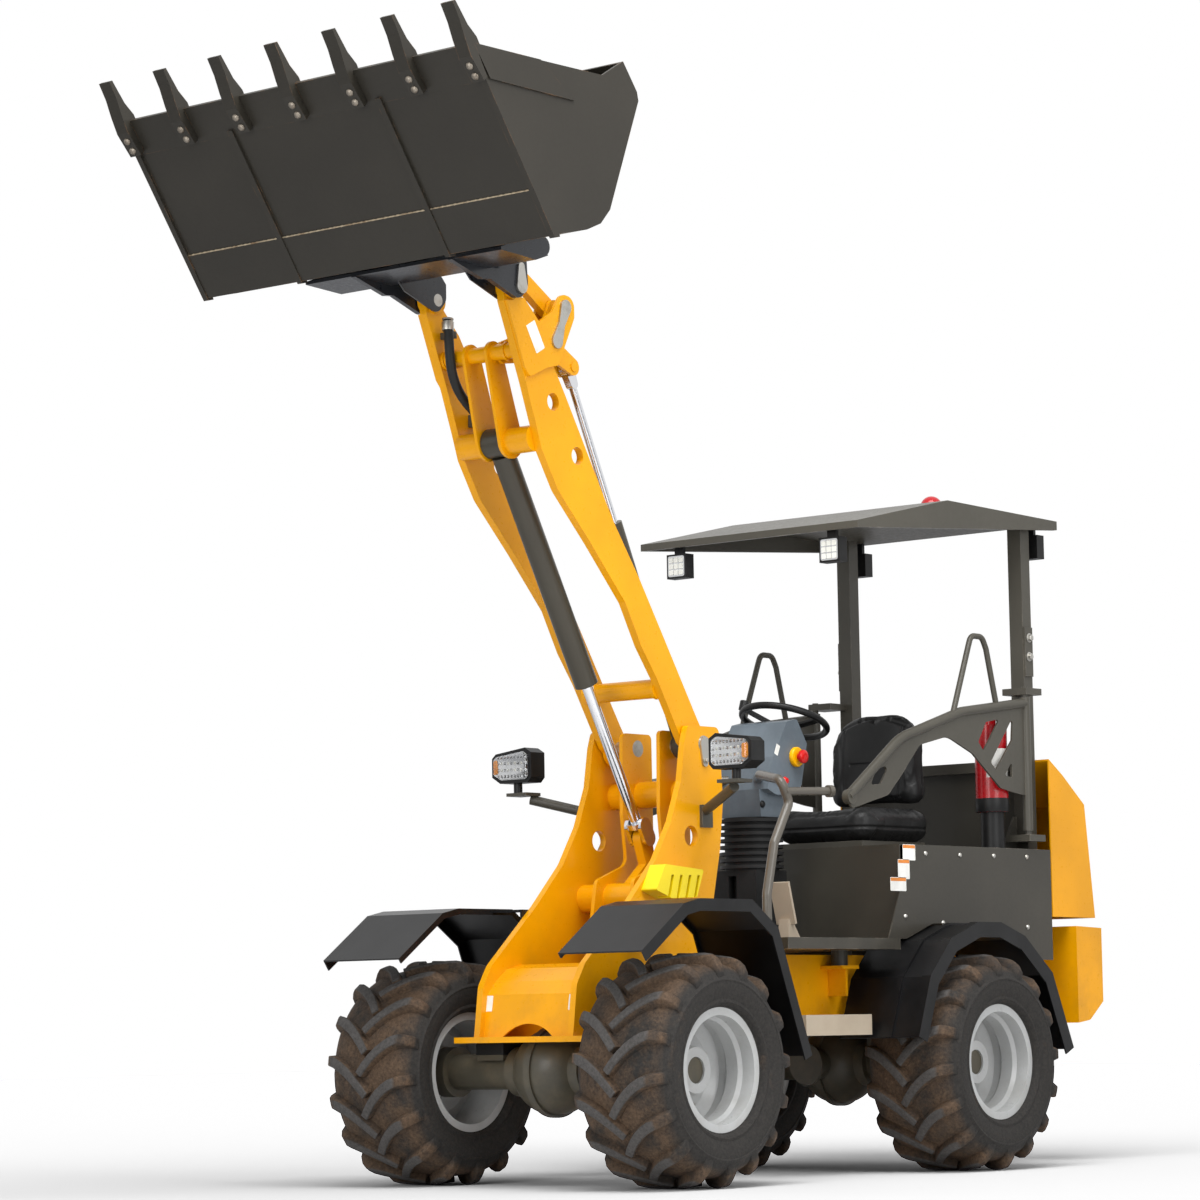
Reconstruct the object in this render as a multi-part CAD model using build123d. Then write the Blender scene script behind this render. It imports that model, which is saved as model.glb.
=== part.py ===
from build123d import *
import math
import os

# Compact articulated wheel loader, boom raised and bucket rolled back. Millimetres, +X forward,
# +Y to the machine's left, +Z up. Places are taken from the front axle's centre line on the ground;
# the last lines move everything along X so that the origin is the bottom centre of the whole.

# Running gear
wheelbase = 1640.0
track = 1120.0
tyre_radius = 393.5
tyre_width = 394.0
lug_count = 16
lug_height = 30.0
lug_root = 6.0
lug_reach = 85.0
lug_width = 42.0
shoulder_wall = 40.0
bead_radius = 190.5
rim_width = 330.0
flange_radius = 212.0
flange_width = 12.0
rim_wall = 8.0
disc_wall = 12.0
disc_offset = -20.0
hub_radius = 92.0
hub_length = 110.0
spindle_radius = 45.0
axle_radius = 62.0
diff_radius = 150.0
diff_rib = 26.0
pinion_radius = 58.0
pinion_reach = 215.0
axle_pad_top = 495.0

# Fits and gaps
running_fit = 0.05
side_gap = 6.0
pin_gap = 1.0

# Steering pivot
pivot_x = -820.0
pivot_pin_radius = 35.0
pivot_boss_radius = 68.0
pivot_boss_low = 440.0
pivot_boss_high = 660.0
yoke_wall = 25.0

# Mast and boom, side view places as (x, z)
plate_wall = 25.0
arm_wall = 30.0
arm_outer = 194.0
head_wall = 12.0
mast_inner = arm_outer + side_gap
mast_outer = mast_inner + plate_wall
mast_hole = (-490.0, 1208.0)
mast_hole_radius = 37.0
core_inner = 78.0
core_wall = 15.0
boom_pivot = (-571.0, 1537.0)
boom_pin_radius = 30.0
boom_boss_radius = 62.0
bucket_pivot = (390.0, 3060.0)
bucket_pin_radius = 22.0
head_boss_radius = 46.0
lift_eye = (250.0, 2558.0)
lift_foot = (-490.0, 1210.0)
lift_pin_radius = 25.0
lift_barrel_radius = 42.0
lift_rod_radius = 20.0
lift_barrel_length = 930.0
web_inner = 45.0
web_wall = 12.0
upper_tube = (-590.0, 1370.0)
upper_tube_radius = 48.0
lower_tube = (-410.0, 1000.0)
lower_tube_radius = 50.0
head_tube = (333.0, 2856.0)
head_tube_radius = 28.0
head_ring_radius = 42.0
eye_tube_radius = 46.0
eye_ring_radius = 60.0
foot_tube = (-400.0, 1730.0)
foot_tube_radius = 34.0

# Tilt linkage, beside the left arm
linkage_y = 127.0
link_width = 32.0
cheek_wall = 12.0
cheek_gap = 4.0
rocker_pivot = (178.0, 2898.0)
rocker_pin_radius = 20.0
rocker_reach = 133.0
rocker_rise = 111.0
lever_reach = 160.0
lever_rise = 205.0
link_length = 300.0
link_rise = 32.0
link_depth = 54.0
link_pin_radius = 16.0
tilt_barrel_radius = 28.0
tilt_rod_radius = 14.0
tilt_barrel_length = 850.0
keeper_wall = 8.0
cylinder_wall = 8.0
gland_length = 60.0
piston_length = 40.0
tilt_travel = 110.0

# Bucket and hitch
bucket_half_width = 806.0
bucket_sheet = 8.0
bucket_side_wall = 12.0
cutter_wall = 6.0
strip_wall = 10.0
strip_width = 22.0
strip_places = (-340.0, 340.0)
heel_plate_reach = 0.24
tooth_count = 7
tooth_width = 52.0
tooth_pitch = (2 * (bucket_half_width + cutter_wall) - tooth_width) / (tooth_count - 1)
hitch_outer = arm_outer + head_wall + side_gap + 20.0
hitch_wall = 20.0
hitch_tube = (524.0, 3150.0)
hitch_tube_radius = 34.0
hitch_half = 450.0
hitch_lock = (509.0, 3130.0)

# Rear body
rail_outer = 300.0
rail_wall = 20.0
frame_back = -2480.0
rail_low = 520.0
rail_high = 790.0
engine_low = 560.0
floor_top = 845.0
floor_wall = 40.0
body_half = 500.0
floor_half = body_half + 45.0
floor_back = 350.0 - wheelbase
seat_box_front = -1370.0
panel_wall = 5.0
seat_box_top = 1190.0
post_x = -2316.0
post_y = body_half - 89.0
post_side = 60.0
deck_back = -2345.0
roof_half = body_half + 10.0
roof_back = -2440.0
roof_top = 2484.0
roof_sheet = 12.0
fender_wall = 6.0
fender_skirt = 42.0
fender_rib = 8.0
front_fender_top = 965.0
fender_gap = 8.0
front_fender_inner = track / 2 - 200.0
front_fender_outer = track / 2 + 162.0
fender_inner = rail_outer + 45.0
fender_outer = track / 2 + 145.0
rear_fender_shape = [
    (-507, 432), (-380, 708), (-210, 840), (-60, 888), (80, 888), (250, 830), (380, 700), (460, 486),
]
rear_fender_line = [(x - wheelbase, z) for x, z in rear_fender_shape]
step_length = 390.0
step_back = 475.0 - wheelbase
step_front = step_back + step_length
step_low = 500.0
step_high = 573.0
step_wall = 8.0
step_width = 70.0
step_hole_radius = 12.0
step_holes = 9
column_x = -1125.0
bellows_radius = 117.0
bellows_low = 1105.0
bellows_high = 1300.0
fold_count = 8
wheel_hub = (-1340.0, 1667.0)
wheel_reach = 160.0
wheel_grip = 13.0
seat_front = -1500.0
seat_back = -2000.0
gate_hinge_x = -2200.0
gate_pin_radius = 12.0
gate_tube_radius = 19.0
grab_tube_radius = 11.0
hood_half = body_half
hood_wall = 6.0
hood_hinge = (-2362.0, 1545.0)
hood_hinge_y = post_y - 111.0
hood_pin_radius = 6.0
hose_radius = 17.0


# Tools for plates and bars

def ring(corners):
    """Closed outline in the XZ plane from rows of x, z, corner radius."""
    spans = []
    for number, (x, z, radius) in enumerate(corners):
        here = Vector(x, 0, z)
        back_x, back_z, _ = corners[number - 1]
        next_x, next_z, _ = corners[(number + 1) % len(corners)]
        back = (Vector(back_x, 0, back_z) - here).normalized()
        onward = (Vector(next_x, 0, next_z) - here).normalized()
        if radius:
            half = math.acos(max(-1.0, min(1.0, back.dot(onward)))) / 2
            run = radius / math.tan(half)
            middle = here + (back + onward).normalized() * (radius / math.sin(half) - radius)
            spans.append((here + back * run, middle, here + onward * run))
        else:
            spans.append((here, None, here))
    edges = []
    for number, (first, middle, last) in enumerate(spans):
        if middle is not None:
            edges.append(ThreePointArc(first, middle, last))
        after = spans[(number + 1) % len(spans)][0]
        if (after - last).length > 1e-6:
            edges.append(Line(last, after))
    return make_face(edges)


def plate(corners, y_low, y_high):
    """Plate with a side-view outline, from y_low to y_high."""
    rows = [(*corner, 0.0)[:3] for corner in corners]
    return Pos(0, y_low, 0) * extrude(ring(rows), amount=y_high - y_low, dir=(0, 1, 0))


def offset_line(points, wall):
    """The same side-view line moved to its left by a wall."""
    moved = []
    for number, (x, z) in enumerate(points):
        here = Vector(x, z)
        normals = []
        for first, second in ((number - 1, number), (number, number + 1)):
            if first >= 0 and second < len(points):
                run = (Vector(*points[second]) - Vector(*points[first])).normalized()
                normals.append(Vector(-run.Y, run.X))
        if len(normals) == 1:
            step = normals[0] * wall
        else:
            middle = (normals[0] + normals[1]).normalized()
            step = middle * (wall / middle.dot(normals[0]))
        spot = here + step
        moved.append((spot.X, spot.Y))
    return moved


def bent(points, wall, y_low, y_high):
    """Folded sheet; the wall lies to the left of the side-view line."""
    return plate(list(points) + offset_line(points, wall)[::-1], y_low, y_high)


def bar_y(point, radius, y_low, y_high):
    """Round bar along Y at the side-view place (x, z)."""
    return Pos(point[0], (y_low + y_high) / 2, point[1]) * Rot(90, 0, 0) * Cylinder(radius, y_high - y_low)


def bar_z(x, y, radius, z_low, z_high):
    """Round upright bar."""
    return Pos(x, y, (z_low + z_high) / 2) * Cylinder(radius, z_high - z_low)


def bar(start, end, radius):
    """Round bar between two places in space."""
    start = Vector(*start)
    run = Vector(*end) - start
    return extrude(Plane(origin=start, z_dir=run) * Circle(radius), amount=run.length)


def block(x_low, x_high, y_low, y_high, z_low, z_high):
    """Square block between two corners."""
    centre = Pos((x_low + x_high) / 2, (y_low + y_high) / 2, (z_low + z_high) / 2)
    return centre * Box(x_high - x_low, y_high - y_low, z_high - z_low)


def tube_path(points, radius, bend):
    """Bent round tube through the given places."""
    path = FilletPolyline(*points, radius=bend)
    start = Plane(origin=path @ 0, z_dir=path % 0)
    return sweep(start * Circle(radius), path=path)


def both_sides(piece):
    """The piece and its mirror image across the machine's centre plane."""
    return piece + mirror(piece, about=Plane.XZ)


def along(point, reach, rise):
    """Side-view place at a reach and a rise in degrees from another."""
    angle = math.radians(rise)
    return (point[0] + reach * math.cos(angle), point[1] + reach * math.sin(angle))


def rise_of(start, end):
    """Rise in degrees of the side-view line from start to end."""
    return math.degrees(math.atan2(end[1] - start[1], end[0] - start[0]))


def capsule(start, end, radius_start, radius_end, y_low, y_high):
    """Link plate: two round ends joined by straight sides."""
    run = Vector(end[0] - start[0], end[1] - start[1])
    side = Vector(-run.Y, run.X).normalized()
    corners = [
        (start[0] + side.X * radius_start, start[1] + side.Y * radius_start),
        (end[0] + side.X * radius_end, end[1] + side.Y * radius_end),
        (end[0] - side.X * radius_end, end[1] - side.Y * radius_end),
        (start[0] - side.X * radius_start, start[1] - side.Y * radius_start),
    ]
    ends = bar_y(start, radius_start, y_low, y_high) + bar_y(end, radius_end, y_low, y_high)
    return ends + plate(corners, y_low, y_high)


def keeper(pin, toward, y_low):
    """Pear-shaped keeper plate over a pin's end, its narrow end toward another side-view place."""
    tail = along(pin, 66.0, rise_of(pin, toward))
    return capsule(pin, tail, 26.0, 15.0, y_low, y_low + keeper_wall)


link_top = along(rocker_pivot, rocker_reach, rocker_rise)
link_end = along(link_top, link_length, link_rise)
lever_end = along(rocker_pivot, lever_reach, lever_rise)


# Wheels

def make_lug(casing):
    """One bar lug at the top of the tyre, from near its centre line to its shoulder."""
    top = math.sqrt(tyre_radius ** 2 - lug_reach ** 2)
    shoulder = tyre_width / 2 - shoulder_wall - 4.0
    corners = [(lug_root, -lug_reach), (shoulder, lug_reach - lug_width), (shoulder, lug_reach),
               (lug_root, lug_width - lug_reach)]
    foot = math.sqrt(casing ** 2 - lug_reach ** 2) - 6.0
    return Pos(0, 0, foot) * extrude(make_face(Polyline(*corners, close=True)), amount=top - foot)


def make_tyre():
    """Lugged tyre on its rim, axis along Y, seated on the bead and against both flanges."""
    half_bead = rim_width / 2 - flange_width
    half = tyre_width / 2
    casing = tyre_radius - lug_height
    widest = (flange_radius + casing) / 2
    profile = [(half_bead, bead_radius), (half_bead, flange_radius), (half, widest)]
    profile.append((half - shoulder_wall, casing))
    profile += [(-y, radius) for y, radius in reversed(profile)]
    body = revolve(make_face(Polyline(*profile, close=True)), axis=Axis.X)
    lug = make_lug(casing)
    other = mirror(lug, about=Plane.YZ)
    step = 360.0 / lug_count
    lowest = math.degrees(math.asin(lug_reach / tyre_radius))
    lugs = []
    for number in range(lug_count):
        lugs.append(Rot(number * step + 180.0 + lowest, 0, 0) * lug)
        lugs.append(Rot((number + 0.5) * step + 180.0 + lowest, 0, 0) * other)
    return Rot(0, 0, 90) * body.fuse(*lugs)


def make_rim():
    """Wheel: barrel with two flanges, dished disc and bored hub, axis along Y, outer side at +Y."""
    half = rim_width / 2
    inner_bead = half - flange_width
    wall_radius = bead_radius - rim_wall
    bore = spindle_radius + running_fit
    hub_low = disc_offset - 30.0
    hub_high = hub_low + hub_length
    corners = [
        (-half, flange_radius), (-inner_bead, flange_radius), (-inner_bead, bead_radius),
        (inner_bead, bead_radius), (inner_bead, flange_radius), (half, flange_radius),
        (half, wall_radius), (half - 50.0, wall_radius), (half - 62.0, wall_radius - 12.0),
        (half - 110.0, wall_radius - 12.0), (half - 122.0, wall_radius),
        (disc_offset + 34.0, wall_radius), (disc_offset + disc_wall, wall_radius - 40.0),
        (disc_offset + disc_wall, hub_radius), (hub_high, hub_radius - 14.0), (hub_high, bore),
        (hub_low, bore), (hub_low, hub_radius), (disc_offset, hub_radius), (disc_offset, wall_radius - 40.0),
        (disc_offset + 14.0, wall_radius), (-half, wall_radius),
    ]
    profile = make_face(Polyline(*corners, close=True))
    return Rot(0, 0, 90) * revolve(profile, axis=Axis.X)


def make_axle(x, pinion_side):
    """Rigid axle: ribbed differential housing, pinion neck, hub drums and two spindles."""
    centre = (x, tyre_radius)
    hub_face = track / 2 + disc_offset - 32.0
    spindle_end = hub_face + hub_length - 6.0
    beam = bar_y(centre, axle_radius, -hub_face + 60.0, hub_face - 60.0)
    drums = both_sides(bar_y(centre, hub_radius - 4.0, hub_face - 60.0, hub_face))
    spindles = both_sides(bar_y(centre, spindle_radius, hub_face - 10.0, spindle_end))
    housing = Pos(x, 0, tyre_radius) * Sphere(diff_radius)
    neck = Pos(x, 0, tyre_radius) * Rot(90, 0, 0) * Cylinder(axle_radius + 24.0, 2 * diff_radius + 30.0)
    rib = bar_y(centre, diff_radius + 8.0, -diff_rib / 2, diff_rib / 2)
    pinion = bar((x, 0.0, tyre_radius), (x + pinion_side * pinion_reach, 0.0, tyre_radius), pinion_radius)
    flange = bar((x + pinion_side * (pinion_reach - 14.0), 0.0, tyre_radius),
                 (x + pinion_side * pinion_reach, 0.0, tyre_radius), pinion_radius + 18.0)
    pads = both_sides(block(x - 70.0, x + 70.0, 180.0, 300.0, tyre_radius + 40.0, axle_pad_top))
    return beam + drums + spindles + housing + neck + rib + pinion + flange + pads



# Front frame

def mast_outline():
    """Side view of the mast's outer plates, from the top front down the front edge."""
    return [
        (-482, 1600, 20), (-462, 1540, 0), (-438, 1400, 0), (-378, 1255, 60), (-289, 1119, 100),
        (-140, 970, 0),
        (100, 762, 60), (146, 690, 60), (170, axle_pad_top + 20, 0), (-420, axle_pad_top + 20, 0),
        (-600, 700, 80), (-612, 995, 0), (-652, 1162, 0), (-675, 1341, 60), (-658, 1600, 25),
    ]


def make_mast_plates():
    """Two outer plates that carry the boom, each with its round tie-down hole."""
    side = plate(mast_outline(), mast_inner, mast_outer)
    side -= bar_y(mast_hole, mast_hole_radius, mast_inner - 1, mast_outer + 1)
    side -= bar_y(boom_pivot, boom_pin_radius, mast_inner - 1, mast_outer + 1)
    return both_sides(side)


def make_mast_core():
    """Inner plates, cross tubes and the lug that takes the lift cylinder's foot."""
    outline = [
        (-485, 1590, 20), (-480, 1300, 0), (-500, 1120, 40), (-330, 1060, 30), (-300, 900, 0),
        (-300, 720, 0), (-580, 720, 0), (-600, 995, 0), (-650, 1200, 0), (-648, 1590, 20),
    ]
    inner = plate(outline, core_inner, core_inner + core_wall)
    inner -= bar_y(boom_pivot, boom_pin_radius, core_inner - 1, core_inner + core_wall + 1)
    core = both_sides(inner)
    for place, radius in ((upper_tube, upper_tube_radius), (lower_tube, lower_tube_radius)):
        core += bar_y(place, radius, -mast_inner, mast_inner)
    bend = (-520.0, 1110.0)
    core += capsule(lift_foot, bend, 32.0, 26.0, -18.0, 18.0)
    core += capsule(bend, lower_tube, 26.0, 40.0, -18.0, 18.0)
    core -= bar_y(lift_foot, lift_pin_radius, -19.0, 19.0)
    return core


def make_nose():
    """Folded front plate between the mast plates and the base flange bolted to the axle."""
    front = bent([(148, axle_pad_top + 20), (124, 660), (84, 705), (20, 750), (-60, 765)], 10.0,
                 -mast_inner, mast_inner)
    arch = bar((40.0, 0.0, tyre_radius), (200.0, 0.0, tyre_radius), diff_radius + 15.0)
    base = block(-300.0, 190.0, -300.0, 300.0, axle_pad_top, axle_pad_top + 20.0)
    base -= Pos(0, 0, tyre_radius) * Sphere(diff_radius + 14.0)
    return base + (front - arch)


def make_yoke():
    """Rear of the front frame: two plates with the upright steering pin between them."""
    yoke = block(-430.0, -300.0, -mast_inner, mast_inner, axle_pad_top, axle_pad_top + 20.0)
    for low in (pivot_boss_low - pin_gap - yoke_wall, pivot_boss_high + pin_gap):
        tongue = block(pivot_x, -430.0, -90.0, 90.0, low, low + yoke_wall)
        yoke += tongue + bar_z(pivot_x, 0, 90.0, low, low + yoke_wall)
    wall_top = pivot_boss_high + pin_gap + yoke_wall
    yoke += block(-470.0, -430.0, -mast_inner, mast_inner, pivot_boss_low - pin_gap - yoke_wall, wall_top)
    yoke += bar_z(pivot_x, 0, pivot_pin_radius, pivot_boss_low - 60.0, pivot_boss_high + 60.0)
    return yoke


def make_front_fender():
    """Left front mudguard over its wheel, with the bracket to the mast."""
    top = front_fender_top
    line = [(400, 790), (173, top - 17), (90, top), (-195, top), (-336, top - 95), (-512, 435)]
    sheet = bent(line, fender_wall, front_fender_inner, front_fender_outer)
    sheet += bent(line, fender_skirt, front_fender_outer - fender_wall, front_fender_outer)
    return sheet + bent(line, fender_skirt / 2, front_fender_inner, front_fender_inner + fender_wall)


def make_fender_bracket():
    """Angled arm from the mast plate to the mudguard."""
    top = front_fender_top - fender_wall
    arm = block(-150.0, -90.0, mast_outer, 640.0, top - 8.0, top)
    return arm + block(-150.0, -90.0, mast_outer, mast_outer + 8.0, top - 120.0, top)


def make_headlamp():
    """Left work headlamp, narrower at its outer end, on its stalk."""
    face = make_face(Polyline((410, 1446), (428, 1428), (560, 1428), (598, 1452), (598, 1520), (580, 1536),
                              (440, 1554), (410, 1536), close=True))
    body = Pos(-440.0, 0, 0) * extrude(Plane.YZ * face, amount=75.0)
    return body + bar_z(-400.0, 504.0, 16.0, 1392.0, 1432.0)


def make_lamp_arm():
    """Left headlamp's bracket from the mast plate."""
    arm = bar((-560.0, mast_outer + 12.0, 1300.0), (-430.0, 470.0, 1368.0), 18.0)
    foot = block(-600.0, -540.0, mast_outer, mast_outer + 12.0, 1240.0, 1320.0)
    return arm + foot + block(-450.0, -370.0, 440.0, 535.0, 1380.0, 1392.0)


def make_boom_pins():
    """Pins of the boom's foot, each held by a keeper plate, and the pin of the lift cylinder's lug."""
    pin = bar_y(boom_pivot, boom_pin_radius, core_inner, mast_outer)
    pin += keeper(boom_pivot, (boom_pivot[0], boom_pivot[1] - 100.0), mast_outer)
    return both_sides(pin) + bar_y(lift_foot, lift_pin_radius, -19.0, 19.0)


def make_chock():
    """Ribbed wheel chock carried on the left mast plate."""
    outline = [(-258, 1102, 6), (-470, 1086, 6), (-430, 990, 6), (-290, 984, 6), (-205, 1012, 6)]
    chock = plate(outline, mast_outer, mast_outer + 70.0)
    for number in range(4):
        place = -420.0 + number * 48.0
        chock -= plate([(place, 970, 0), (place + 14, 970, 0), (place - 14, 1066, 0), (place - 28, 1066, 0)],
                       mast_outer + 20.0, mast_outer + 71.0)
    return chock


# Boom

def arm_outline():
    """Side view of one boom arm, front edge upwards first, then the rear edge down."""
    return [
        (-577, 1475, 60), (-490, 1540, 0), (-441, 1618, 0), (-351, 1762, 0), (-269, 1870, 0),
        (-185, 2018, 0),
        (-9, 2206, 0), (167, 2382, 100), (249, 2515, 60), (278, 2602, 0), (330, 2745, 0), (436, 3010, 0),
        (bucket_pivot[0] + 44, bucket_pivot[1] + 20, 30), (bucket_pivot[0] - 20, bucket_pivot[1] + 46, 30),
        (345, 3030, 0), (267, 2950, 0), (122, 2718, 60), (-125, 2303, 0), (-268, 2103, 0), (-382, 1927, 0),
        (-577, 1624, 40), (-632, 1545, 50),
    ]


def lobe_outline():
    """Side view of the head plate that stiffens the arm's end and carries the rocker's pivot."""
    return [
        (433, 3010, 0), (bucket_pivot[0] - 6, 3016, 0), (345, 3030, 0), (267, 2955, 0), (196, 3000, 0),
        (150, 3068, 40), (80, 3060, 40), (80, 2990, 30), (168, 2815, 20), (228, 2800, 10), (318, 2759, 12),
        (345, 2790, 0),
    ]


def make_boom():
    """Welded boom: two arms, head plates, webs and cross tubes."""
    arm = plate(arm_outline(), arm_outer - arm_wall, arm_outer)
    arm += bar_y(boom_pivot, boom_boss_radius, arm_outer - arm_wall, arm_outer)
    boom = both_sides(arm)
    boom += plate(lobe_outline(), arm_outer, arm_outer + head_wall)
    doubler = [(433, 3010), (384, 3016), (345, 3030), (267, 2955), (228, 2800), (318, 2759), (345, 2790)]
    boom += plate(doubler, -arm_outer - head_wall, -arm_outer)
    inner = arm_outer - arm_wall
    boom += both_sides(bar_y(bucket_pivot, head_boss_radius, inner - 8.0, arm_outer + head_wall))
    boom += bar_y(head_tube, head_tube_radius, arm_wall - arm_outer, arm_outer - arm_wall)
    boom += both_sides(bar_y(lift_eye, eye_tube_radius, web_inner, arm_outer - arm_wall))
    boom += bar_y(foot_tube, foot_tube_radius, arm_wall - arm_outer, arm_outer - arm_wall)
    web = capsule(head_tube, lift_eye, head_ring_radius, eye_ring_radius, web_inner, web_inner + web_wall)
    boom += both_sides(web)
    for ring_high in (inner, inner - 40.0):
        boom += both_sides(bar_y(head_tube, head_tube_radius + 5.0, ring_high - 10.0, ring_high))
    boom += both_sides(bar_y(foot_tube, foot_tube_radius + 5.0, inner - 14.0, inner))
    inner_lobe = [(361, 2850, 0), (320, 2895, 20), (190, 2945, 40), (128, 2890, 40), (175, 2840, 20),
                  (310, 2820, 10)]
    boom += plate(inner_lobe, web_inner + web_wall + 8.0, web_inner + web_wall + 20.0)
    boom -= bar_y(lift_eye, lift_pin_radius, -web_inner - web_wall, web_inner + web_wall)
    boom -= bar_y(rocker_pivot, rocker_pin_radius, web_inner, arm_outer + head_wall + 1)
    for sign in (1, -1):
        low, high = sorted((sign * (arm_outer - arm_wall - 20.0), sign * (arm_outer + head_wall + 1.0)))
        boom -= bar_y(bucket_pivot, bucket_pin_radius + running_fit, low, high)
        boom -= bar_y(boom_pivot, boom_pin_radius + running_fit, low, high)
    for hole in ((186, 2687), (61, 2511)):
        boom -= bar_y(hole, 31.0, -arm_outer - 1, arm_outer + 1)
    return boom


def make_head_pins():
    """Pins fixed in the boom, for rocker and lift cylinder, and the keeper plates on the left head plate."""
    face = arm_outer + head_wall
    rocker_pin = bar_y(rocker_pivot, rocker_pin_radius, web_inner + web_wall + 4.0, face)
    rocker_pin += keeper(rocker_pivot, link_top, face)
    cover = keeper(link_top, rocker_pivot, face)
    lift_pin = bar_y(lift_eye, lift_pin_radius, -web_inner - web_wall, web_inner + web_wall)
    return rocker_pin + cover + lift_pin


def make_hitch_pins():
    """Pins fixed in the hitch, turning in the boom's head, each with its keeper plate."""
    pin = bar_y(bucket_pivot, bucket_pin_radius, linkage_y + link_width / 2 + side_gap, hitch_outer)
    above = (bucket_pivot[0] + 4.0, bucket_pivot[1] + 100.0)
    return both_sides(pin + keeper(bucket_pivot, above, hitch_outer))


def make_head_hose():
    """Hose bundle inside the right arm, from its fitting at the head down past the cross tube."""
    face = arm_outer - arm_wall
    points = [(378.0, -118.0, 2990.0), (383.0, -108.0, 2930.0), (384.0, -104.0, 2862.0),
              (372.0, -106.0, 2800.0), (338.0, -110.0, 2745.0), (290.0, -110.0, 2700.0),
              (222.0, -106.0, 2654.0)]
    hose = tube_path(points, hose_radius, 60.0)
    fitting = bar((378.4, -117.0, 2994.0), (380.0, -114.0, 2964.0), hose_radius + 4.0)
    clamp = block(344.0, 367.0, -face, -104.0, 2925.0, 2950.0)
    foot = block(190.0, 228.0, -face, -88.0, 2632.0, 2676.0)
    return hose + fitting + clamp + foot


def make_barrel(foot, head, y, radius, length, eye_radius, pin_radius, rod_radius, eye_half):
    """Cylinder barrel from its eye at foot towards head, bored for its rod."""
    rise = rise_of(foot, head)
    bore = radius - cylinder_wall
    near, far = along(foot, eye_radius - 4.0, rise), along(foot, length, rise)
    barrel = bar((near[0], y, near[1]), (far[0], y, far[1]), radius)
    hollow_start, hollow_end = along(foot, eye_radius + 24.0, rise), along(foot, length - 40.0, rise)
    barrel -= bar((hollow_start[0], y, hollow_start[1]), (hollow_end[0], y, hollow_end[1]), bore)
    barrel -= bar((hollow_start[0], y, hollow_start[1]), (*along(foot, length + 1.0, rise)[:1], y,
                                                         along(foot, length + 1.0, rise)[1]),
                  rod_radius + running_fit)
    barrel += bar_y(foot, eye_radius, y - eye_half, y + eye_half)
    return barrel - bar_y(foot, pin_radius + running_fit, y - eye_half - 1, y + eye_half + 1)


def make_rod(foot, head, y, radius, barrel_radius, barrel_length, travel):
    """Piston and rod, from inside the barrel with its travel still to come, out to near the head pin."""
    rise = rise_of(foot, head)
    reach = math.dist(foot, head)
    piston = barrel_radius - cylinder_wall - running_fit
    piston_end = along(foot, barrel_length - gland_length - travel, rise)
    piston_start = along(foot, barrel_length - gland_length - piston_length - travel, rise)
    tip = along(foot, reach - 50.0, rise)
    rod = bar((piston_start[0], y, piston_start[1]), (tip[0], y, tip[1]), radius)
    return rod + bar((piston_start[0], y, piston_start[1]), (piston_end[0], y, piston_end[1]), piston)


def make_lift_rod():
    """Lift rod with the fork that straddles the mast's lug."""
    rise = rise_of(lift_eye, lift_foot)
    rod = make_rod(lift_eye, lift_foot, 0.0, lift_rod_radius, lift_barrel_radius, lift_barrel_length, 0.0)
    neck = along(lift_foot, -66.0, rise)
    bridge = along(lift_foot, -48.0, rise)
    fork = bar((neck[0], 0, neck[1]), (bridge[0], 0, bridge[1]), 38.0)
    for sign in (1, -1):
        low, high = sorted((sign * 22.0, sign * 38.0))
        cheek = capsule(bridge, lift_foot, 30.0, 30.0, low, high)
        fork += cheek
    return rod + fork


def make_tilt_rod():
    """Tilt rod with the eye that lies between the rocker's cheeks."""
    rod = make_rod(boom_pivot, lever_end, linkage_y, tilt_rod_radius, tilt_barrel_radius, tilt_barrel_length,
                   tilt_travel)
    half = link_width / 2
    return rod + bar_y(lever_end, 30.0, linkage_y - half + 2.0, linkage_y + half - 2.0) + capsule(
        lever_end, along(lever_end, -60.0, rise_of(boom_pivot, lever_end)), 26.0, 18.0,
        linkage_y - half + 2.0, linkage_y + half - 2.0) - bar_y(lever_end, link_pin_radius, 0.0, 400.0)


def make_rocker():
    """Two-cheek rocker on its hub, with the link's pin and the tilt rod's pin stubs."""
    inside = link_width / 2 + cheek_gap
    rocker = bar_y(rocker_pivot, 38.0, linkage_y - inside, linkage_y + inside)
    for sign in (1, -1):
        low, high = sorted((linkage_y + sign * inside, linkage_y + sign * (inside + cheek_wall)))
        cheek = capsule(rocker_pivot, link_top, 42.0, 32.0, low, high)
        cheek += capsule(rocker_pivot, lever_end, 42.0, 30.0, low, high)
        rocker += cheek
        outer = linkage_y + sign * (inside + cheek_wall + 4.0)
        low, high = sorted((linkage_y + sign * inside, outer))
        rocker += bar_y(lever_end, link_pin_radius, low, high)
    outside = inside + cheek_wall
    rocker += bar_y(link_top, link_pin_radius, linkage_y - outside, linkage_y + outside)
    return rocker - bar_y(rocker_pivot, rocker_pin_radius + running_fit, 0.0, 400.0)


def make_link():
    """Link from the rocker to the hitch."""
    half = link_width / 2
    low, high = linkage_y - half, linkage_y + half
    link = capsule(link_top, link_end, link_depth / 2 + 4.0, link_depth / 2, low, high)
    return link - bar_y(link_top, link_pin_radius + running_fit, 0.0, 400.0) - bar_y(
        link_end, link_pin_radius, 0.0, 400.0)


# Bucket

bucket_profile = [
    (1267, 3651), (875, 3090), (717, 3128), (647, 3158), (598, 3211), (441, 3601), (448, 3631), (518, 3722),
]
bucket_rim = [(626, 3657), (942, 3653)]
cutter_joint = (1189, 3548)


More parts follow.
